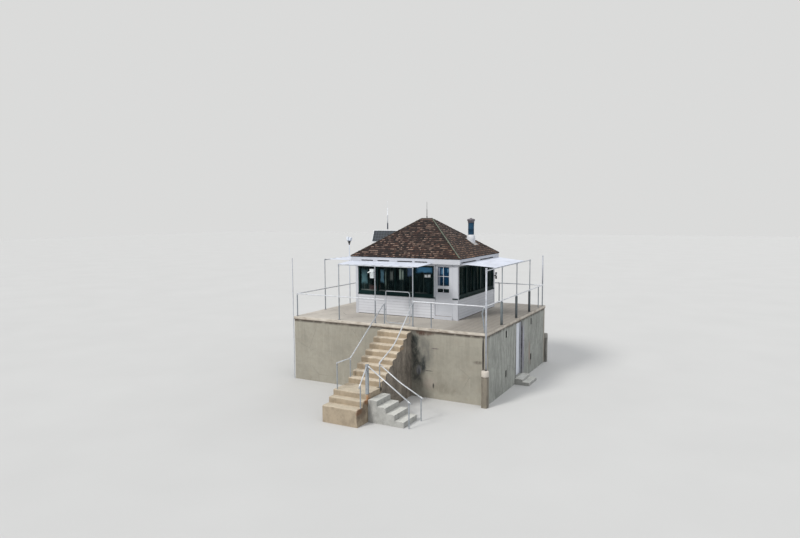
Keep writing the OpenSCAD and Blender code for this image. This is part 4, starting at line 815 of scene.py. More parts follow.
def canvas_sheet(name, cad, inner, outer, drop, ties, sag=0.030):
    """A slack sheet between an inner and an outer edge line: straight between them, plus a belly that grows
    to sag at the middle, faint slanting ripples, and scallops of the outer edge by drop."""
    u, v = np.meshgrid(np.linspace(0, 1, CLOTH_ALONG), np.linspace(0, 1, CLOTH_DEEP), indexing="ij")
    a, b = [np.asarray(line, float) for line in (inner, outer)]
    along = lambda line: line[0] + (line[1] - line[0]) * u[..., None]
    place = along(a) * (1 - v[..., None]) + along(b) * v[..., None]
    lobes = np.abs(np.sin(np.pi * ties * u))
    belly = -sag * np.sin(np.pi * v) ** 0.8 * np.minimum(1, 6 * u * (1 - u))
    folds = 0.006 * np.sin(np.pi * v) * np.sin(2 * np.pi * (4.3 * u + 0.5 * v))
    folds += 0.004 * np.sin(2 * np.pi * (9 * u - 0.8 * v)) * v
    scallop = -drop * lobes ** 0.7 * np.clip((v - 0.86) / 0.14, 0, 1) ** 1.5
    place[..., 2] += belly + folds + scallop
    place[..., :2] += unit((a.mean(0) - b.mean(0))[:2]) * (0.030 * lobes * v ** 6)[..., None]
    long, deep = [float(np.linalg.norm(d)) for d in (b[1] - b[0], a.mean(0) - b.mean(0))]
    uv = np.stack([u * long, v * deep], -1).reshape(-1, 2)
    shape = place.reshape(-1, 3), grid_faces(CLOTH_ALONG, CLOTH_DEEP)
    piece = add_piece(name, shape, "canvas", canvas, cad, smooth=True, uv=uv)
    cloth = piece.modifiers.new("cloth", "SOLIDIFY")
    cloth.thickness, cloth.offset = 0.003, 0.0
    tied = np.clip(np.linspace(0, 1, ties + 1), 0.012, 0.988)[:, None]
    rings = [swept(tie_ring(knot), 0.004, 6) for knot in b[0] + (b[1] - b[0]) * tied]
    hem, lace = [add_piece(name.replace("cloth", word), trim, "canvas", canvas, smooth=True)
                 for word, trim in (("hem", swept(place[:, -1], 0.007, 8)), ("ties", rings))]


def canvas_look(name, base):
    """White canvas: a fine plain weave, soft blue-grey water marks, seams between the cloth's strips."""
    f = Finish(name, 0.85)
    uv = f.node("TexCoord").outputs["UV"]
    f.colour = f.tones(f.noise(0.9, 6.0, 0.6, at=uv), base, (0.34, 0.80), (0.52, 1), (0.8, 1.05))
    f.layer((168, 182, 204), 0.30, f.noise(1.6, 5.0, 0.6, at=f.at((3.0, 0.5, 1.0), source=uv)), 0.50, 0.72)
    seam = f.math("LESS_THAN", f.within(f.split(uv)[0], 0.92), 0.022)
    f.layer(scaled(base, 0.6), f.times(seam, 0.25))
    f.bump(f.times(f.waves(160.0, uv, 0.0), f.waves(160.0, uv, 0.0, "Y")), 0.06, 0.001)
    f.bump(seam, 0.3, 0.003)
    return f.done()


canvas = canvas_look("canvas_cloth", (217, 222, 234))
for side, drop, ties, *lines in (
        ("front", 0.012, 9, (1.895, 2.005), (6.127, 2.005), (2.4275, 0.080), (6.425, 0.080)),
        ("right", 0.012, 9, (7.447, 2.070), (7.447, 6.940), (9.415, 0.950), (9.362, 5.0875)),
        ("left", 0.040, 6, (1.853, 5.770), (1.853, 2.070), (0.078, 5.560), (0.078, 2.340))):
    inner, outer = [(*p, 2.516) for p in lines[:2]], [(*p, 2.512) for p in lines[2:]]
    canvas_sheet(side + "_awning_cloth", side + "_awning", inner, outer, drop, ties)


# Steps: solid concrete with worn noses
def flight(origin, run, across, width, steps, wear, ragged, seed, narrow=0.0):
    """A solid flight of steps. Its stepped outline, a lattice of distances along the run and heights, goes
    round as a closed ring carried across from one side to the other; each side is the lattice's cells under
    the outline. A nose point moves back and down by its wear, fading with distance as a bell curve; the far
    side is pulled in by chance waves to its ragged depth, and at the upper end by narrow more."""
    ends = np.cumsum([0.0] + [d for d, _ in steps])
    tops = np.array([z for _, z in steps])
    levels = np.append(tops, GROUND)

    def lattice(marks, noses):
        runs = [np.linspace(a, b, max(2, int(abs(b - a) / EDGE_PITCH) + 1)) for a, b in zip(marks, marks[1:])]
        return np.unique(np.round(np.concatenate(runs + [noses - 0.012, noses - 0.030]), 6))

    s_all, z_all = lattice(ends, ends[1:]), lattice(levels, tops)[::-1]
    at_s = lambda value: int(np.argmin(np.abs(s_all - value)))
    at_z = lambda value: int(np.argmin(np.abs(z_all - value)))
    last = len(z_all) - 1
    i, j = [np.zeros(last, int)], [np.arange(last, 0, -1)]
    for a, b, top, below in zip(ends, ends[1:], levels, levels[1:]):
        i += [np.arange(at_s(a), at_s(b)), np.full(at_z(below) - at_z(top), at_s(b))]
        j += [np.full(at_s(b) - at_s(a), at_z(top)), np.arange(at_z(top), at_z(below))]
    i = np.concatenate(i + [np.arange(len(s_all) - 1, 0, -1)])
    j = np.concatenate(j + [np.full(len(s_all) - 1, last)])

    def worn(s, z, w):
        s, z, w = np.broadcast_arrays(s, z, w)
        gap = np.sqrt(((s[..., None] - ends[1:]) ** 2 + (z[..., None] - tops) ** 2).min(-1))
        edge = np.clip((w / width - 0.80) / 0.20, 0, 1)
        amount = wear * (0.5 + 1.3 * ripple(w + 3 * z, z, 0.25, seed))
        amount += ragged * edge ** 2 * ripple(w + s, z, 0.08, seed + 1)
        move = 0.7 * amount * np.exp(-(gap / (0.022 + 0.035 * edge)) ** 2)
        chips = 1.1 * ripple(s, z, 0.10, seed + 2) ** 1.6 + 0.35 * ripple(s, z, 0.035, seed + 3)
        back = ragged * chips * (w / width) ** 10
        s, z, w = s - move, z - move, w - back - narrow * (1 - s / ends[-1]) * (w / width) ** 3
        plan = np.array(origin) + s[..., None] * np.array(run) + w[..., None] * np.array(across)
        return np.concatenate([plan, z[..., None]], -1)

    w = width * np.unique(np.concatenate([np.linspace(0, 1, 34), 1 - np.array([0.01, 0.022, 0.04])]))
    shell = worn(s_all[i][None], z_all[j][None], w[:, None]).reshape(-1, 3)
    middles = (s_all[1:] + s_all[:-1]) / 2
    outline = tops[np.minimum(np.searchsorted(ends, middles) - 1, len(tops) - 1)]
    cells = grid_faces(len(s_all), len(z_all)).reshape(len(s_all) - 1, -1, 4)
    under = cells[z_all[None, :-1] <= outline[:, None] + 1e-6]
    sides = [(worn(s_all[:, None], z_all[None], side).reshape(-1, 3), under) for side in (0.0, width)]
    return [(shell, grid_faces(len(w), len(i), True))] + sides


treads = [(0.46, -0.21)] + [(0.322, -0.21 * k) for k in range(2, 8)] + [(0.3217, -1.68)]
# The dark mark along the flight's right edge by the wall is painted shade
main_look = step_concrete("main_step_concrete", (214, 201, 181), (164, 149, 128), 0.32, marks=[
    ((6.24, -0.1, -1.2), (0.16, 0.75, 1.3), (58, 60, 58), 0.85, 0.3),
    ((4.75, -1.4, -1.1), (0.30, 1.6, 1.4), (104, 92, 76), 0.5, 0.6),
    ((6.2, -0.9, -0.75), (0.16, 0.30, 0.12), (186, 150, 108), 0.4, 0.5)], side=(130, 122, 112))
# The dark mark at the landing's back right corner is painted shade, partly a crack
landing_look = step_concrete("landing_concrete", (198, 186, 166), (166, 152, 132), 0.30, marks=[
    ((6.22, -3.82, -2.05), (0.07, 0.28, 0.26), (170, 116, 70), 0.75, 0.6),
    ((6.23, -4.30, -2.38), (0.10, 0.30, 0.14), (160, 104, 62), 0.6, 0.7),
    ((6.20, -2.79, -1.90), (0.20, 0.11, 0.2), (52, 50, 46), 0.9, 0.3),
    ((6.22, -4.2, -2.4), (0.05, 0.6, 0.6), (70, 52, 38), 0.6, 0.5),
    ((4.8, -2.9, -1.88), (0.35, 0.3, 0.1), (112, 98, 78), 0.5, 0.5)])
pale_step = finish["concrete_pale"]
landing_steps = [(1.0455, -1.89), (0.300, -2.10), (0.430, -2.31)]
side_steps = [(0.370, -1.89 - 0.21 * k) for k in range(1, 5)]
for name, slot, look, shape in (
        ("main_flight", "concrete_warm", main_look,
         flight((STAIR_X, -0.0003), (0, -1), (1, 0), STAIR_W, treads, 0.016, 0.034, 5, 0.12)),
        ("landing", "concrete_warm", landing_look,
         flight((STAIR_X, -2.7145), (0, -1), (1, 0), STAIR_W, landing_steps, 0.014, 0.030, 15)),
        ("side_flight", "concrete_pale", pale_step,
         flight((6.2403, -2.714), (1, 0), (0, -1), 1.046, side_steps, 0.010, 0.012, 25)),
        ("door_steps", "concrete_cool", pale_step,
         flight((9.4403, 3.615), (1, 0), (0, 1), 1.190, [(0.340, -2.68), (0.320, -2.80)], 0.012, 0.020, 35))):
    add_piece("worn_" + name, shape, slot, look, name, solid=True)


def slab_edge():
    """The deck slab's shell: a profile of nine points carried round the four edges, its upper arris and
    lower lip broken back by chance waves, closed by one face above and one below."""
    lo, hi_x, hi_y = -SLAB_PROUD, BASE_W + SLAB_PROUD, BASE_D + SLAB_PROUD
    corners = np.array([(lo, lo), (hi_x, lo), (hi_x, hi_y), (lo, hi_y)])
    square = unit(np.roll(corners, -1, 0) - corners) @ np.array([(0, -1), (1, 0)])
    ring, out = [], []
    for k in range(4):
        a, b = corners[k], corners[(k + 1) % 4]
        t = np.linspace(0, 1, int(np.linalg.norm(b - a) / EDGE_PITCH), endpoint=False)[:, None]
        ring.append(a + (b - a) * t)
        out.append(np.where(t == 0, square[k] + square[k - 1], square[k]))
    ring, out = np.concatenate(ring), np.concatenate(out)
    n = len(ring)
    walk = np.arange(n) * EDGE_PITCH
    chip = np.clip(ripple(walk, 0.3, 0.16, 61) * 1.5 - 0.55, 0, 1) * (0.4 + 0.6 * ripple(walk, 0.7, 0.05, 62))
    lip = np.clip(ripple(walk, 0.3, 0.30, 63) * 1.4 - 0.5, 0, 1)
    profile = [(0.30, 0.0, 0, 0), (0.035, 0.0, 0.6, 0.1), (0.012, -0.002, 1.0, 0.5),
               (0.002, -0.014, 1.0, 0.9), (0.0, -0.035, 0.7, 0.5), (0.0, -0.110, 0.15, 0.0),
               (0.002, -0.140, 0.0, 0.0), (0.030, -SLAB_T, 0.0, 0.0), (0.30, -SLAB_T, 0, 0)]
    rows = []
    for depth, z, back, down in profile:
        back_by = depth + 0.040 * back * chip + (0.018 * lip if z < -0.12 and depth < 0.2 else 0)
        place = np.clip(ring - out * back_by[:, None], lo + depth, np.array([hi_x, hi_y]) - depth)
        rows.append(np.column_stack([place, z - 0.022 * down * chip]))
    shapes = [(np.concatenate(rows), grid_faces(len(profile), n, True))]
    for k, z in ((0, 0.0), (-1, -SLAB_T)):
        middle = np.repeat([[*corners.mean(0), z]], n, 0)
        shapes.append((np.concatenate([rows[k], middle]), grid_faces(2, n, True)))
    return shapes


def deck_look(name, base):
    """Trowelled deck concrete: pale and patchy, with a painted shadow of the awnings darkening its right part,
    faint bands and cracks on top; its edge browner, with a painted shadow line along its foot."""
    f = Finish(name, 0.88)
    f.colour = f.tones(f.noise(0.8, 7.0, 0.6), base, (0.32, 0.86), (0.55, 1), (0.75, 1.06))
    x = f.axis(0)
    # Painted shadow of the awnings on the deck's right part, fading towards the back
    shade = f.times(f.span(x, 0.2, 3.2), f.span(f.axis(1), 2.6, 0.9, 0.35, 1.0))
    f.layer(scaled(base, 0.50), f.times(shade, 0.85))
    bands = f.waves(0.60, f.at((2.0, 0.06, 0.0)), 2.5, detail=3.0)
    f.shade(f.mix(bands, scaled(base, 0.55), base), f.times(f.span(x, 2.7, 3.0), 0.30))
    spots = f.noise(6.0, 6.0, 0.68)
    f.layer(scaled(base, 0.70), 0.35, spots, 0.50, 0.74)
    grain = f.sand(90.0, 0.4, 0.78)
    edge = f.noise(2.6, 6.0, 0.7, (1.0, 1.0, 3.0), (4, 4, 4))
    f.layer(f.ramp(edge, [(0.30, (138, 125, 112)), (0.46, (186, 178, 166)), (0.70, (210, 204, 194))]),
            f.span(f.facing()[2], 0.85, 0.45))
    # Painted shadow line along the foot of the slab's edge
    f.layer((72, 54, 42), f.times(f.span(f.axis(2), 2.855, 2.805), 0.85))
    f.cracks(base, 0.7, (2, 6, 2), 0.007, 0.6, 0.48, 0.56, 0.55)
    f.rough(spots, 0.6, grain, 0.4, 0.35, 0.005)
    return f.done()


add_piece("chipped_deck_slab", slab_edge(), "concrete_deck", deck_look("deck_concrete", (206, 199, 189)),
          "deck_slab", solid=True)


# Pipe work
def bent(points, bend=0.10):
    """A path through the points whose corners are rounded: near a corner it follows the parabola from bend
    before it to bend after it."""
    points = np.asarray(points, float)
    path = [points[:1]]
    for a, p, b in zip(points, points[1:], points[2:]):
        t = np.linspace(0, 1, 9)[:, None]
        start, end = p + unit(a - p) * bend, p + unit(b - p) * bend
        path.append((1 - t) ** 2 * start + 2 * t * (1 - t) * p + t ** 2 * end)
    return np.concatenate(path + [points[-1:]])


def sleeve(a, b, radius=0.031):
    """A short fitting round a pipe from a to b, with a rolled bead at each end."""
    t = np.array([0, 0.02, 0.10, 0.18, 0.82, 0.90, 0.98, 1.0])[:, None]
    a, b = np.asarray(a, float), np.asarray(b, float)
    return swept(a + (b - a) * t, radius, 16, [0.86, 1.0, 1.06, 0.98, 0.98, 1.06, 1.0, 0.86])


def collar(x, y, low, high, radius):
    """A sleeve on an upright pipe."""
    return sleeve((x, y, low), (x, y, high), radius)


def sleeve_on(a, b, start, length):
    """A sleeve on the pipe from a to b, that begins start past a."""
    a, way = np.asarray(a, float), unit(np.subtract(b, a))
    return sleeve(a + way * start, a + way * (start + length))


left_rail = [(4.755, 0.100, 0.895), (4.755, -2.620, -0.940), (4.850, -3.685, -0.885)]
right_rail = [(6.130, 0.072, 0.963), (6.235, -0.90, 0.285), (6.280, -1.815, -0.430), (6.155, -2.740, -0.940)]
left_end = [(4.850, -3.66, -0.886), (4.850, -3.700, -0.885), (4.850, -3.702, -0.93)]
right_end = [(6.155, -2.725, -0.932), (6.155, -2.775, -0.955), (6.215, -2.79, -1.02)]
add_piece("bent_main_rails", [
    swept(bent(left_rail, 0.07), RAIL_R), swept(bent(right_rail, 0.40), RAIL_R),
    swept(bent(left_end, 0.018), RAIL_R), swept(bent(right_end, 0.03), RAIL_R * 1.1),
    sleeve_on(left_rail[1], left_rail[0], 0.01, 0.09), sleeve_on(left_rail[1], left_rail[2], 0.01, 0.08),
    sleeve_on(right_rail[3], right_rail[2], 0.015, 0.10), sleeve_on(left_rail[0], left_rail[1], 0.0, 0.09),
    collar(4.755, -2.620, -1.02, -0.93, 0.031)], "pipe_steel", cad="main_stair_rails", smooth=True)
far_rail = [(6.175, -2.740, -1.013), (7.036, -2.740, -1.600), (8.000, -2.740, -2.095)]
near_rail = [(6.243, -3.710, -0.855), (7.998, -3.710, -2.025)]
walk_rail = [(6.190, -3.765, -0.889), (6.19, -4.290, -1.544)]
add_piece("bent_side_rails", [
    swept(bent(far_rail, 0.20), RAIL_R), swept(near_rail, RAIL_R), swept(walk_rail, RAIL_R),
    sleeve_on(*near_rail, 0.0, 0.08), sleeve_on(*near_rail[::-1], 0.06, 0.09),
    sleeve_on(far_rail[2], far_rail[1], 0.05, 0.09), sleeve_on(*walk_rail[::-1], 0.08, 0.09)],
    "pipe_steel", cad="side_stair_rails", smooth=True)

# Bolts of the foot plates and set screws of the sleeves
feet = [(x, RAIL_IN) for x in (RAIL_IN, *FRONT_POSTS, 9.326)] + [(RIGHT_X, y) for y in RIGHT_POSTS]
feet += [(x, BACK_Y) for x in (*BACK_POSTS, RIGHT_X)] + [(RAIL_IN, y) for y in LEFT_POSTS]
around = np.array([(-1, -1), (1, -1), (1, 1), (-1, 1)]) * 0.030
bolt = (np.array(feet)[:, None] + around[None]).reshape(-1, 2)
bolts = brick(*[np.column_stack([bolt + out, np.full(len(bolt), z)])
                for out, z in ((-0.007, 0.0084), (0.007, 0.018))])
heads = [(x, RAIL_IN) for x in (RAIL_IN, *FRONT_POSTS)] + [(x, BACK_Y) for x in BACK_POSTS]
screws = [(x, y + side * 0.0375, z) for side, z in ((-1, 1.010), (-1, 1.080), (1, 1.045)) for x, y in heads]
tops = [(x, 0.0655) for x in FRONT_POSTS] + [(9.3745, y) for y in RIGHT_POSTS]
screws = np.array(screws + [(x, y, z) for z in (2.435, 2.490) for x, y in tops])
add_piece("plate_bolts", [bolts], "pipe_steel", metal_paint("rusty_bolt", (120, 96, 78), 0.7, 0.6))
add_piece("set_screws", [brick(screws - 0.006, screws + 0.006)], "pipe_steel", finish["dark_metal"])


# Piers with their round caps, the poles and the near pole's dark socket
def pier_body(x, y, seed, half):
    """An upright four-sided post whose faces swell and pit by chance waves, closed at both ends."""
    rows, turn = np.linspace(GROUND, PIER_TOP, 24), np.linspace(0, 2 * np.pi, 33)[:-1]
    square = np.minimum(half / np.maximum(np.abs(np.cos(turn)), np.abs(np.sin(turn))), 1.28 * half)
    r = square[None] - 0.012 * ripple(rows[:, None], 3 * np.cos(turn)[None] + 5, 0.12, seed)
    ring = np.stack([x + r * np.cos(turn), y + r * np.sin(turn), rows[:, None] + 0 * r], -1)
    ends = [np.tile([x, y, z], (1, 32, 1)) for z in (GROUND, PIER_TOP)]
    return np.concatenate([ends[0], ring, ends[1]]).reshape(-1, 3), grid_faces(26, 32, True)


CAP_TOP = [(0.040, -1.466), (0.034, -1.475), (0, -1.475)]
for spot, x, y, seed, half, body_tone, cap_tone in (
        ("near", 9.440, -0.1505, 71, 0.130, (134, 127, 115), (206, 198, 188)),
        ("far", 9.440, 8.5460, 72, 0.124, (140, 139, 134), (158, 156, 150))):
    body = poured_concrete(spot + "_pier_concrete", body_tone, 0.4, 1.3, 0.0, (78, 66, 54), fine=0.35)
    add_piece(spot + "_pier_body", pier_body(x, y, seed, half), "concrete_cool", body,
              "corner_pier" if spot == "near" else None, solid=True)
    rim = [(0, -1.706), (half + 0.006, -1.704), (half + 0.018, -1.690), (half + 0.019, -1.52),
           (half + 0.011, -1.480), (half - 0.018, -1.4655)]
    cap = poured_concrete(spot + "_cap_concrete", cap_tone, contrast=0.6)
    add_piece(spot + "_pier_cap", turned((x, y), rim + CAP_TOP, 28), "concrete_cool", cap, smooth=True)
add_piece("back_pole_pipe", upright(RIGHT_X, BACK_Y, (1.1075, 1.8, 2.555), 0.034), "pipe_steel",
          zinc_pipe("back_pole_zinc", (184, 188, 196), 0.25), smooth=True)
# Covers on the right rail posts, darker from the first to the third: painted shade
for k, y, tone in ((1, 2.095, (122, 130, 134)), (2, 4.090, (92, 99, 102)), (3, 6.085, (82, 89, 93))):
    pair = [upright(*place, (0.0085, 0.5, 0.982), 0.036, 18) for place in ((9.345, y), (9.332, y - 0.0823))]
    add_piece(f"post_cover_{k}", pair, "pipe_steel", zinc_pipe(f"cover_zinc_{k}", tone), smooth=True)
pole = [upright(*CORNER, (-1.440, 0.6, 2.585), 0.036), collar(*CORNER, 1.005, 1.105, 0.042),
        collar(*CORNER, 2.40, 2.575, 0.042)]
add_piece("corner_pole_pipe", pole, "pipe_steel", zinc_pipe("corner_pole_zinc", (184, 188, 196), 0.2),
          smooth=True)
socket = [(0.023, -1.4745), (0.056, -1.4640), (0.060, -1.452), (0.052, -1.444), (0.0365, -1.442)]
add_piece("pole_socket", turned(CORNER, socket), "dark_metal", smooth=True)

# Flue: pipe with seams, round collar, folded plate and rusty cap
FLUE = (6.554, 5.515)
pipe_profile = [(0.138, 3.30), (0.1445, 3.31), (0.1445, 3.62), (0.148, 3.625), (0.148, 3.645), (0.1435, 3.65),
                (0.1435, 3.93), (0.147, 3.935), (0.147, 3.955), (0.1425, 3.96), (0.1425, 4.249), (0, 4.249)]
cap_profile = [(0.0, 4.2505), (0.155, 4.2505), (0.158, 4.300), (0.162, 4.335), (0.184, 4.345), (0.189, 4.356),
               (0.188, 4.420), (0.178, 4.432), (0.110, 4.446), (0.050, 4.462), (0.044, 4.482), (0.0, 4.486)]
collar_profile = [(0.190, 3.26), (0.202, 3.36), (0.2105, 3.46), (0.2100, 3.54), (0.200, 3.60), (0.182, 3.650),
                  (0.160, 3.674), (0.1462, 3.676)]
add_piece("flue_pipe", turned(FLUE, pipe_profile, 32), "flue_steel", cad="flue", smooth=True)
add_piece("flue_cap", turned(FLUE, cap_profile, 28), "flue_steel",
          metal_paint("flue_cap_paint", (102, 98, 104), 0.6, 0.25), smooth=True)
straps = [swept([(FLUE[0] + r * c, FLUE[1] + r * s, z) for r, z in ((0.150, 4.10), (0.152, 4.262))], 0.008, 6)
          for c, s in ((1, 0), (-0.5, 0.866), (-0.5, -0.866))]
add_piece("flue_straps", straps, "flue_steel", finish["dark_metal"])
add_piece("flue_collar", turned(FLUE, collar_profile, 32), "white_metal", cad="flue_flashing", smooth=True)
middle = np.array([FLUE[1] - EAVE_Y0, (EAVE_X1 - FLUE[0]) / math.cos(PITCH), 0])
plate = [slope_places(1, brick(middle + low, middle + high)) for low, high in (
    ((-0.235, -0.34, 0.0008), (0.235, 0.24, 0.011)), ((-0.240, -0.35, 0.0008), (-0.225, 0.245, 0.020)),
    ((0.225, -0.35, 0.0008), (0.240, 0.245, 0.020)))]
add_piece("flue_plate", plate, "white_metal", metal_paint("plate_paint", (178, 174, 172), 0.6, 0.25))

# Solar panel: a raised rim and a face of cells, tilted with the panel
TILT, PANEL_TOP, MAST = math.radians(22), 3.840, (1.660, 5.920)


def on_panel(places):
    """The panel's own places as deck places: a across, b out of its face (towards the front), c down from
    its upper edge, turned back by the tilt about that edge."""
    a, b, c = np.moveaxis(np.asarray(places, float), -1, 0)
    back = MAST[1] - 0.0243
    return np.stack([MAST[0] + a, back - b * math.cos(TILT) - c * math.sin(TILT),
                     PANEL_TOP + b * math.sin(TILT) - c * math.cos(TILT)], -1)


def cell_look(name):
    """Dark glazed cells in ten columns and four rows, with thin silver lines between, under dust."""
    f = Finish(name, 0.5, shine=0.15)
    uv = f.node("TexCoord").outputs["UV"]
    a, c = [f.math("LESS_THAN", f.within(value, pitch), 0.09)
            for value, pitch in zip(f.split(uv), (0.158, 0.155))]
    f.colour = f.mix(0.12, (44, 52, 60), f.cells(6.3, uv, output="Color", spread=0.2), "OVERLAY")
    f.layer((72, 70, 68), f.times(f.noise(2.5, 5.0, 0.6), 0.45))
    f.layer((104, 112, 122), f.times(f.math("MAXIMUM", a, c), 0.6))
    return f.done()


RIM_HALF, FACE_HALF, RIM_C0, FACE_C0, FACE_C1, RIM_C1 = 0.8215, 0.790, -0.0015, 0.030, 0.650, 0.6815
rims = [on_panel(brick((a0, -0.001, c0), (a1, 0.0405, c1))) for a0, c0, a1, c1 in (
    (-RIM_HALF, RIM_C0, RIM_HALF, FACE_C0), (-RIM_HALF, FACE_C1, RIM_HALF, RIM_C1),
    (-RIM_HALF, FACE_C0, -FACE_HALF, FACE_C1), (FACE_HALF, FACE_C0, RIM_HALF, FACE_C1))]
add_piece("panel_rim", rims, "white_metal", solid=True)
face_a, face_c = np.meshgrid(
    np.linspace(-FACE_HALF, FACE_HALF, 3), np.linspace(FACE_C0, FACE_C1, 3), indexing="ij")
face = on_panel(np.stack([face_a, 0 * face_a + 0.0372, face_c], -1)).reshape(-1, 3)
add_piece("panel_cells", (face, grid_faces(3, 3)[:, ::-1]), "panel_cells", cell_look("cell_glass"),
          uv=np.stack([face_a + FACE_HALF, face_c], -1).reshape(-1, 2))

# Antenna: mast, dark lower case, pale whip with its joints, and the arm to the eave
x, y = MAST
mast = [upright(x, y, (0.0, 3.899), 0.024, 16), collar(x, y, 1.0, 1.1, 0.029), collar(x, y, 2.52, 2.62, 0.029)]
add_piece("mast_pipe", mast, "pipe_steel", cad="antenna_mast", smooth=True)
arm = brick([x + 0.0243, y - 0.025, 2.595], [EAVE_X0 + 0.0197, y + 0.025, 2.620])
add_piece("mast_arm", [arm], "pipe_steel")
case = [(0, 3.9005), (0.030, 3.902), (0.033, 3.95), (0.033, 4.20), (0.026, 4.236), (0, 4.240)]
case_paint = metal_paint("antenna_case_paint", (28, 46, 66), 0.5)
add_piece("antenna_case", turned(MAST, case), "dark_metal", case_paint, smooth=True)
whip = [(0, 4.2405), (0.0205, 4.242), (0.0205, 4.62), (0.024, 4.625), (0.024, 4.655), (0.0195, 4.66),
        (0.0195, 4.995), (0.012, 5.0), (0.008, 5.01), (0.006, 5.38), (0.0, 5.389)]
whip_paint = metal_paint("whip_paint", (232, 236, 242), 0.4)
add_piece("antenna_whip", turned(MAST, whip, 16), "white_metal", whip_paint, smooth=True)


# Sensor on its post: two white lobes that lean together, a dark bracket and cap line
def lobe(x, z, size, lean):
    """A rounded white case: a superellipsoid with exponent 0.55, sheared sideways by lean with height."""
    a, b = np.linspace(-np.pi / 2, np.pi / 2, 17)[:, None], np.linspace(0, 2 * np.pi, 25)[None, :-1]
    power = lambda v: np.sign(v) * np.abs(v) ** 0.55
    px, py = [power(np.cos(a)) * power(round_b) for round_b in (np.cos(b), np.sin(b))]
    pz = power(np.sin(a)) + 0 * b
    place = np.stack([x + size[0] * px + lean * pz, SENSOR[1] + size[1] * py, z + size[2] * pz], -1)
    return place.reshape(-1, 3), grid_faces(17, 24, True)


SENSOR = x, y = (0.040, 4.670)
post = [upright(x, y, (0.0, 3.10), 0.023, 16), collar(x, y, 1.02, 1.12, 0.028)]
post_paint = metal_paint("post_paint", (206, 214, 226), 0.5, 0.1)
add_piece("sensor_pole", post, "white_metal", post_paint, "sensor_post", smooth=True)
lobes = [lobe(x - 0.078, 3.420, (0.068, 0.085, 0.110), -0.018),
         lobe(x + 0.078, 3.405, (0.062, 0.085, 0.095), 0.018)]
sensor_paint = metal_paint("sensor_paint", (222, 228, 238), 0.4, 0.05)
add_piece("sensor_lobes", lobes, "white_metal", sensor_paint, smooth=True)
bracket = [(0, 3.095), (0.030, 3.10), (0.034, 3.16), (0.060, 3.20), (0.066, 3.27), (0.030, 3.315), (0, 3.33)]
bar = brick([x - 0.105, y - 0.030, 3.285], [x + 0.105, y + 0.030, 3.318])
add_piece("sensor_bracket", [turned(SENSOR, bracket), bar], "dark_metal")


# White weather box beside the awning's pole: a louvred case, a closed one over it and a tapered arm
def louvred(x0, x1, y0, y1, z0, z1, slats, w=0.018):
    """A box of four corner strips, a back, a floor and a roof, with sloping slats between the strips."""
    parts = [brick((x, y, z0), (x + w, y + w, z1)) for x in (x0, x1 - w) for y in (y0, y1 - w)]
    parts += [brick((x0, y0, z0 - 0.010), (x1, y1, z0)),
              brick((x0 - 0.012, y0 - 0.012, z1), (x1 + 0.012, y1 + 0.012, z1 + 0.016)),
              brick((x0 + w, y0 + w + 0.012, z0), (x1 - w, y1 - w - 0.012, z1))]
    step = (z1 - z0) / slats
    for z in z0 + step * np.arange(slats):
        for ya, yb in ((y0 + 0.002, y0 + w + 0.010), (y1 - 0.002, y1 - w - 0.010)):
            high = z + 0.45 * step
            low = np.array([(x0 + w, ya, z), (x1 - w, ya, z), (x1 - w, yb, high), (x0 + w, yb, high)])
            if ya > yb:
                low = low[[1, 0, 3, 2]]
            parts.append(np.concatenate([low, low + (0, 0, 0.5 * step)]))
    return parts


box_paint = metal_paint("box_paint", (218, 224, 226), 0.5, 0.08)
lower = louvred(4.098, 4.270, 0.020, 0.180, 1.965, 2.150, 5)
add_piece("louvred_box", lower, "white_metal", box_paint, "weather_box", solid=True)
upper = [brick(*ends) for ends in (
    ((4.092, 0.012, 2.2055), (4.272, 0.188, 2.318)), ((4.082, 0.004, 2.3185), (4.2775, 0.196, 2.336)),
    ((4.135, 0.045, 2.1665), (4.225, 0.155, 2.205)))]
arm = np.array([point for z, z1 in ((2.160, 2.2065), (2.200, 2.262)) for point in (
    (3.935, 0.085, z), (4.0915, 0.060, z1), (4.0915, 0.140, z1), (3.935, 0.115, z))])
clamp = [brick((4.2705, 0.070, z), (4.2775, 0.130, z + 0.03)) for z in (2.00, 2.25)]
add_piece("upper_case", upper + [arm] + clamp, "white_metal", box_paint, solid=True)

# Lantern on the cabin's back right corner: a domed cap over white rings of glass
LAMP = (CAB_X1 + 0.100, CAB_Y1 - 0.065, (SILL_TOP + HEAD) / 2 - 0.110)
dome = [(0, 0.132), (0.050, 0.134), (0.058, 0.142), (0.050, 0.166), (0.030, 0.184), (0, 0.190)]
rings = [(0.0355, 0.0415), (0.050, 0.046), (0.038, 0.062), (0.051, 0.070), (0.038, 0.088), (0.051, 0.096),
         (0.038, 0.114), (0.044, 0.1305), (0, 0.1315)]
add_piece("lantern_dome", turned(LAMP, dome), "dark_metal", smooth=True)
lamp_glass = metal_paint("lantern_glass", (206, 214, 220), 0.3)
add_piece("lantern_rings", turned(LAMP, rings), "dark_metal", lamp_glass, smooth=True)

# Camera at the photograph's place
CAM_PLACE, CAM_YAW, CAM_PITCH, CAM_ROLL = (13.184, -27.006, 7.627), 28.387, -5.04, -0.351
FOCAL_PX, FRAME_PX, SENSOR_MM = 620.78, 800.0, 36.0


def in_scene(name, data):
    """A new object of the data, put into the scene."""
    thing = bpy.data.objects.new(name, data)
    bpy.context.scene.collection.objects.link(thing)
    return thing


camera = bpy.context.scene.camera = in_scene("camera", bpy.data.cameras.new("camera"))
camera.location = CAM_PLACE
camera.data.sensor_width = SENSOR_MM
camera.data.lens = FOCAL_PX / FRAME_PX * SENSOR_MM
camera.data.clip_end = 400.0
camera.rotation_mode = "QUATERNION"
turn = Quaternion((0, 0, 1), math.radians(CAM_YAW)) @ Quaternion((1, 0, 0), math.radians(90 + CAM_PITCH))
camera.rotation_quaternion = turn @ Quaternion((0, 0, 1), math.radians(CAM_ROLL))

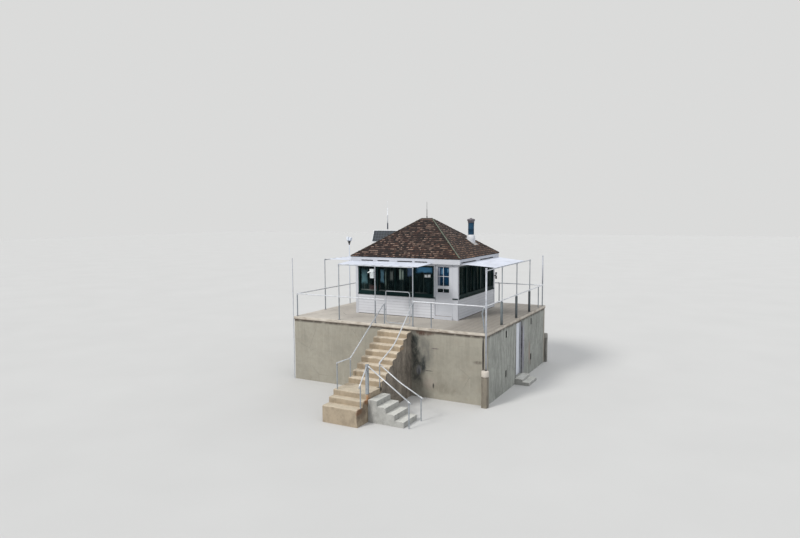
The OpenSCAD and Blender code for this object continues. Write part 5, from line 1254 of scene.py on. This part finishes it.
# Floor, world and lamps
floor_mesh = bpy.data.meshes.new("floor")
floor_mesh.from_pydata([(-200, -200, 0), (200, -200, 0), (200, 200, 0), (-200, 200, 0)], [], [(0, 1, 2, 3)])
floor = in_scene("floor", floor_mesh)
floor.location.z = -0.002
pale = Finish("pale_floor", 0.95)
pale.colour = pale.ramp(pale.noise(0.25, 2.0), [(0.3, (203, 203, 202)), (0.7, (206, 206, 205))])
floor_mesh.materials.append(pale.done())

world = bpy.context.scene.world = bpy.data.worlds.new("studio")
world.use_nodes = True
tree = world.node_tree
tree.nodes.clear()
out, join, rays, lit, seen = [tree.nodes.new("ShaderNode" + kind) for kind in (
    "OutputWorld", "MixShader", "LightPath", "Background", "Background")]
SKY, BACKDROP = ((0.93, 0.96, 1.0, 1), 0.45), ((0.706, 0.708, 0.702, 1), 1.0)
for background, (colour, strength) in ((lit, SKY), (seen, BACKDROP)):
    background.inputs[0].default_value, background.inputs[1].default_value = colour, strength
seen_by = rays.outputs["Is Camera Ray"]
for kind in ("Is Glossy Ray", "Is Transmission Ray"):
    most = tree.nodes.new("ShaderNodeMath")
    most.operation = "MAXIMUM"
    tree.links.new(seen_by, most.inputs[0])
    tree.links.new(rays.outputs[kind], most.inputs[1])
    seen_by = most.outputs[0]
for number, start in enumerate((seen_by, lit.outputs[0], seen.outputs[0])):
    tree.links.new(start, join.inputs[number])
tree.links.new(join.outputs[0], out.inputs[0])


def sun(name, away, width, power, colour=(1, 1, 1)):
    """A broad soft light whose rays run along away, from a patch of sky width degrees across."""
    data = bpy.data.lights.new(name, "SUN")
    data.angle, data.energy, data.color = math.radians(width), power, colour
    light = in_scene(name, data)
    light.rotation_mode = "QUATERNION"
    light.rotation_quaternion = Vector(away).to_track_quat("-Z", "Y")


sun("key", (0.30, 0.75, -0.60), 14, 2.15, (1.0, 0.98, 0.945))
sun("top", (-0.15, 0.10, -1.0), 50, 0.60)
sun("side", (-0.80, 0.10, -0.35), 60, 0.35, (0.94, 0.97, 1.0))
sun("back", (-0.1, -0.9, -0.45), 60, 0.50)

bpy.context.scene.view_settings.view_transform = "Standard"
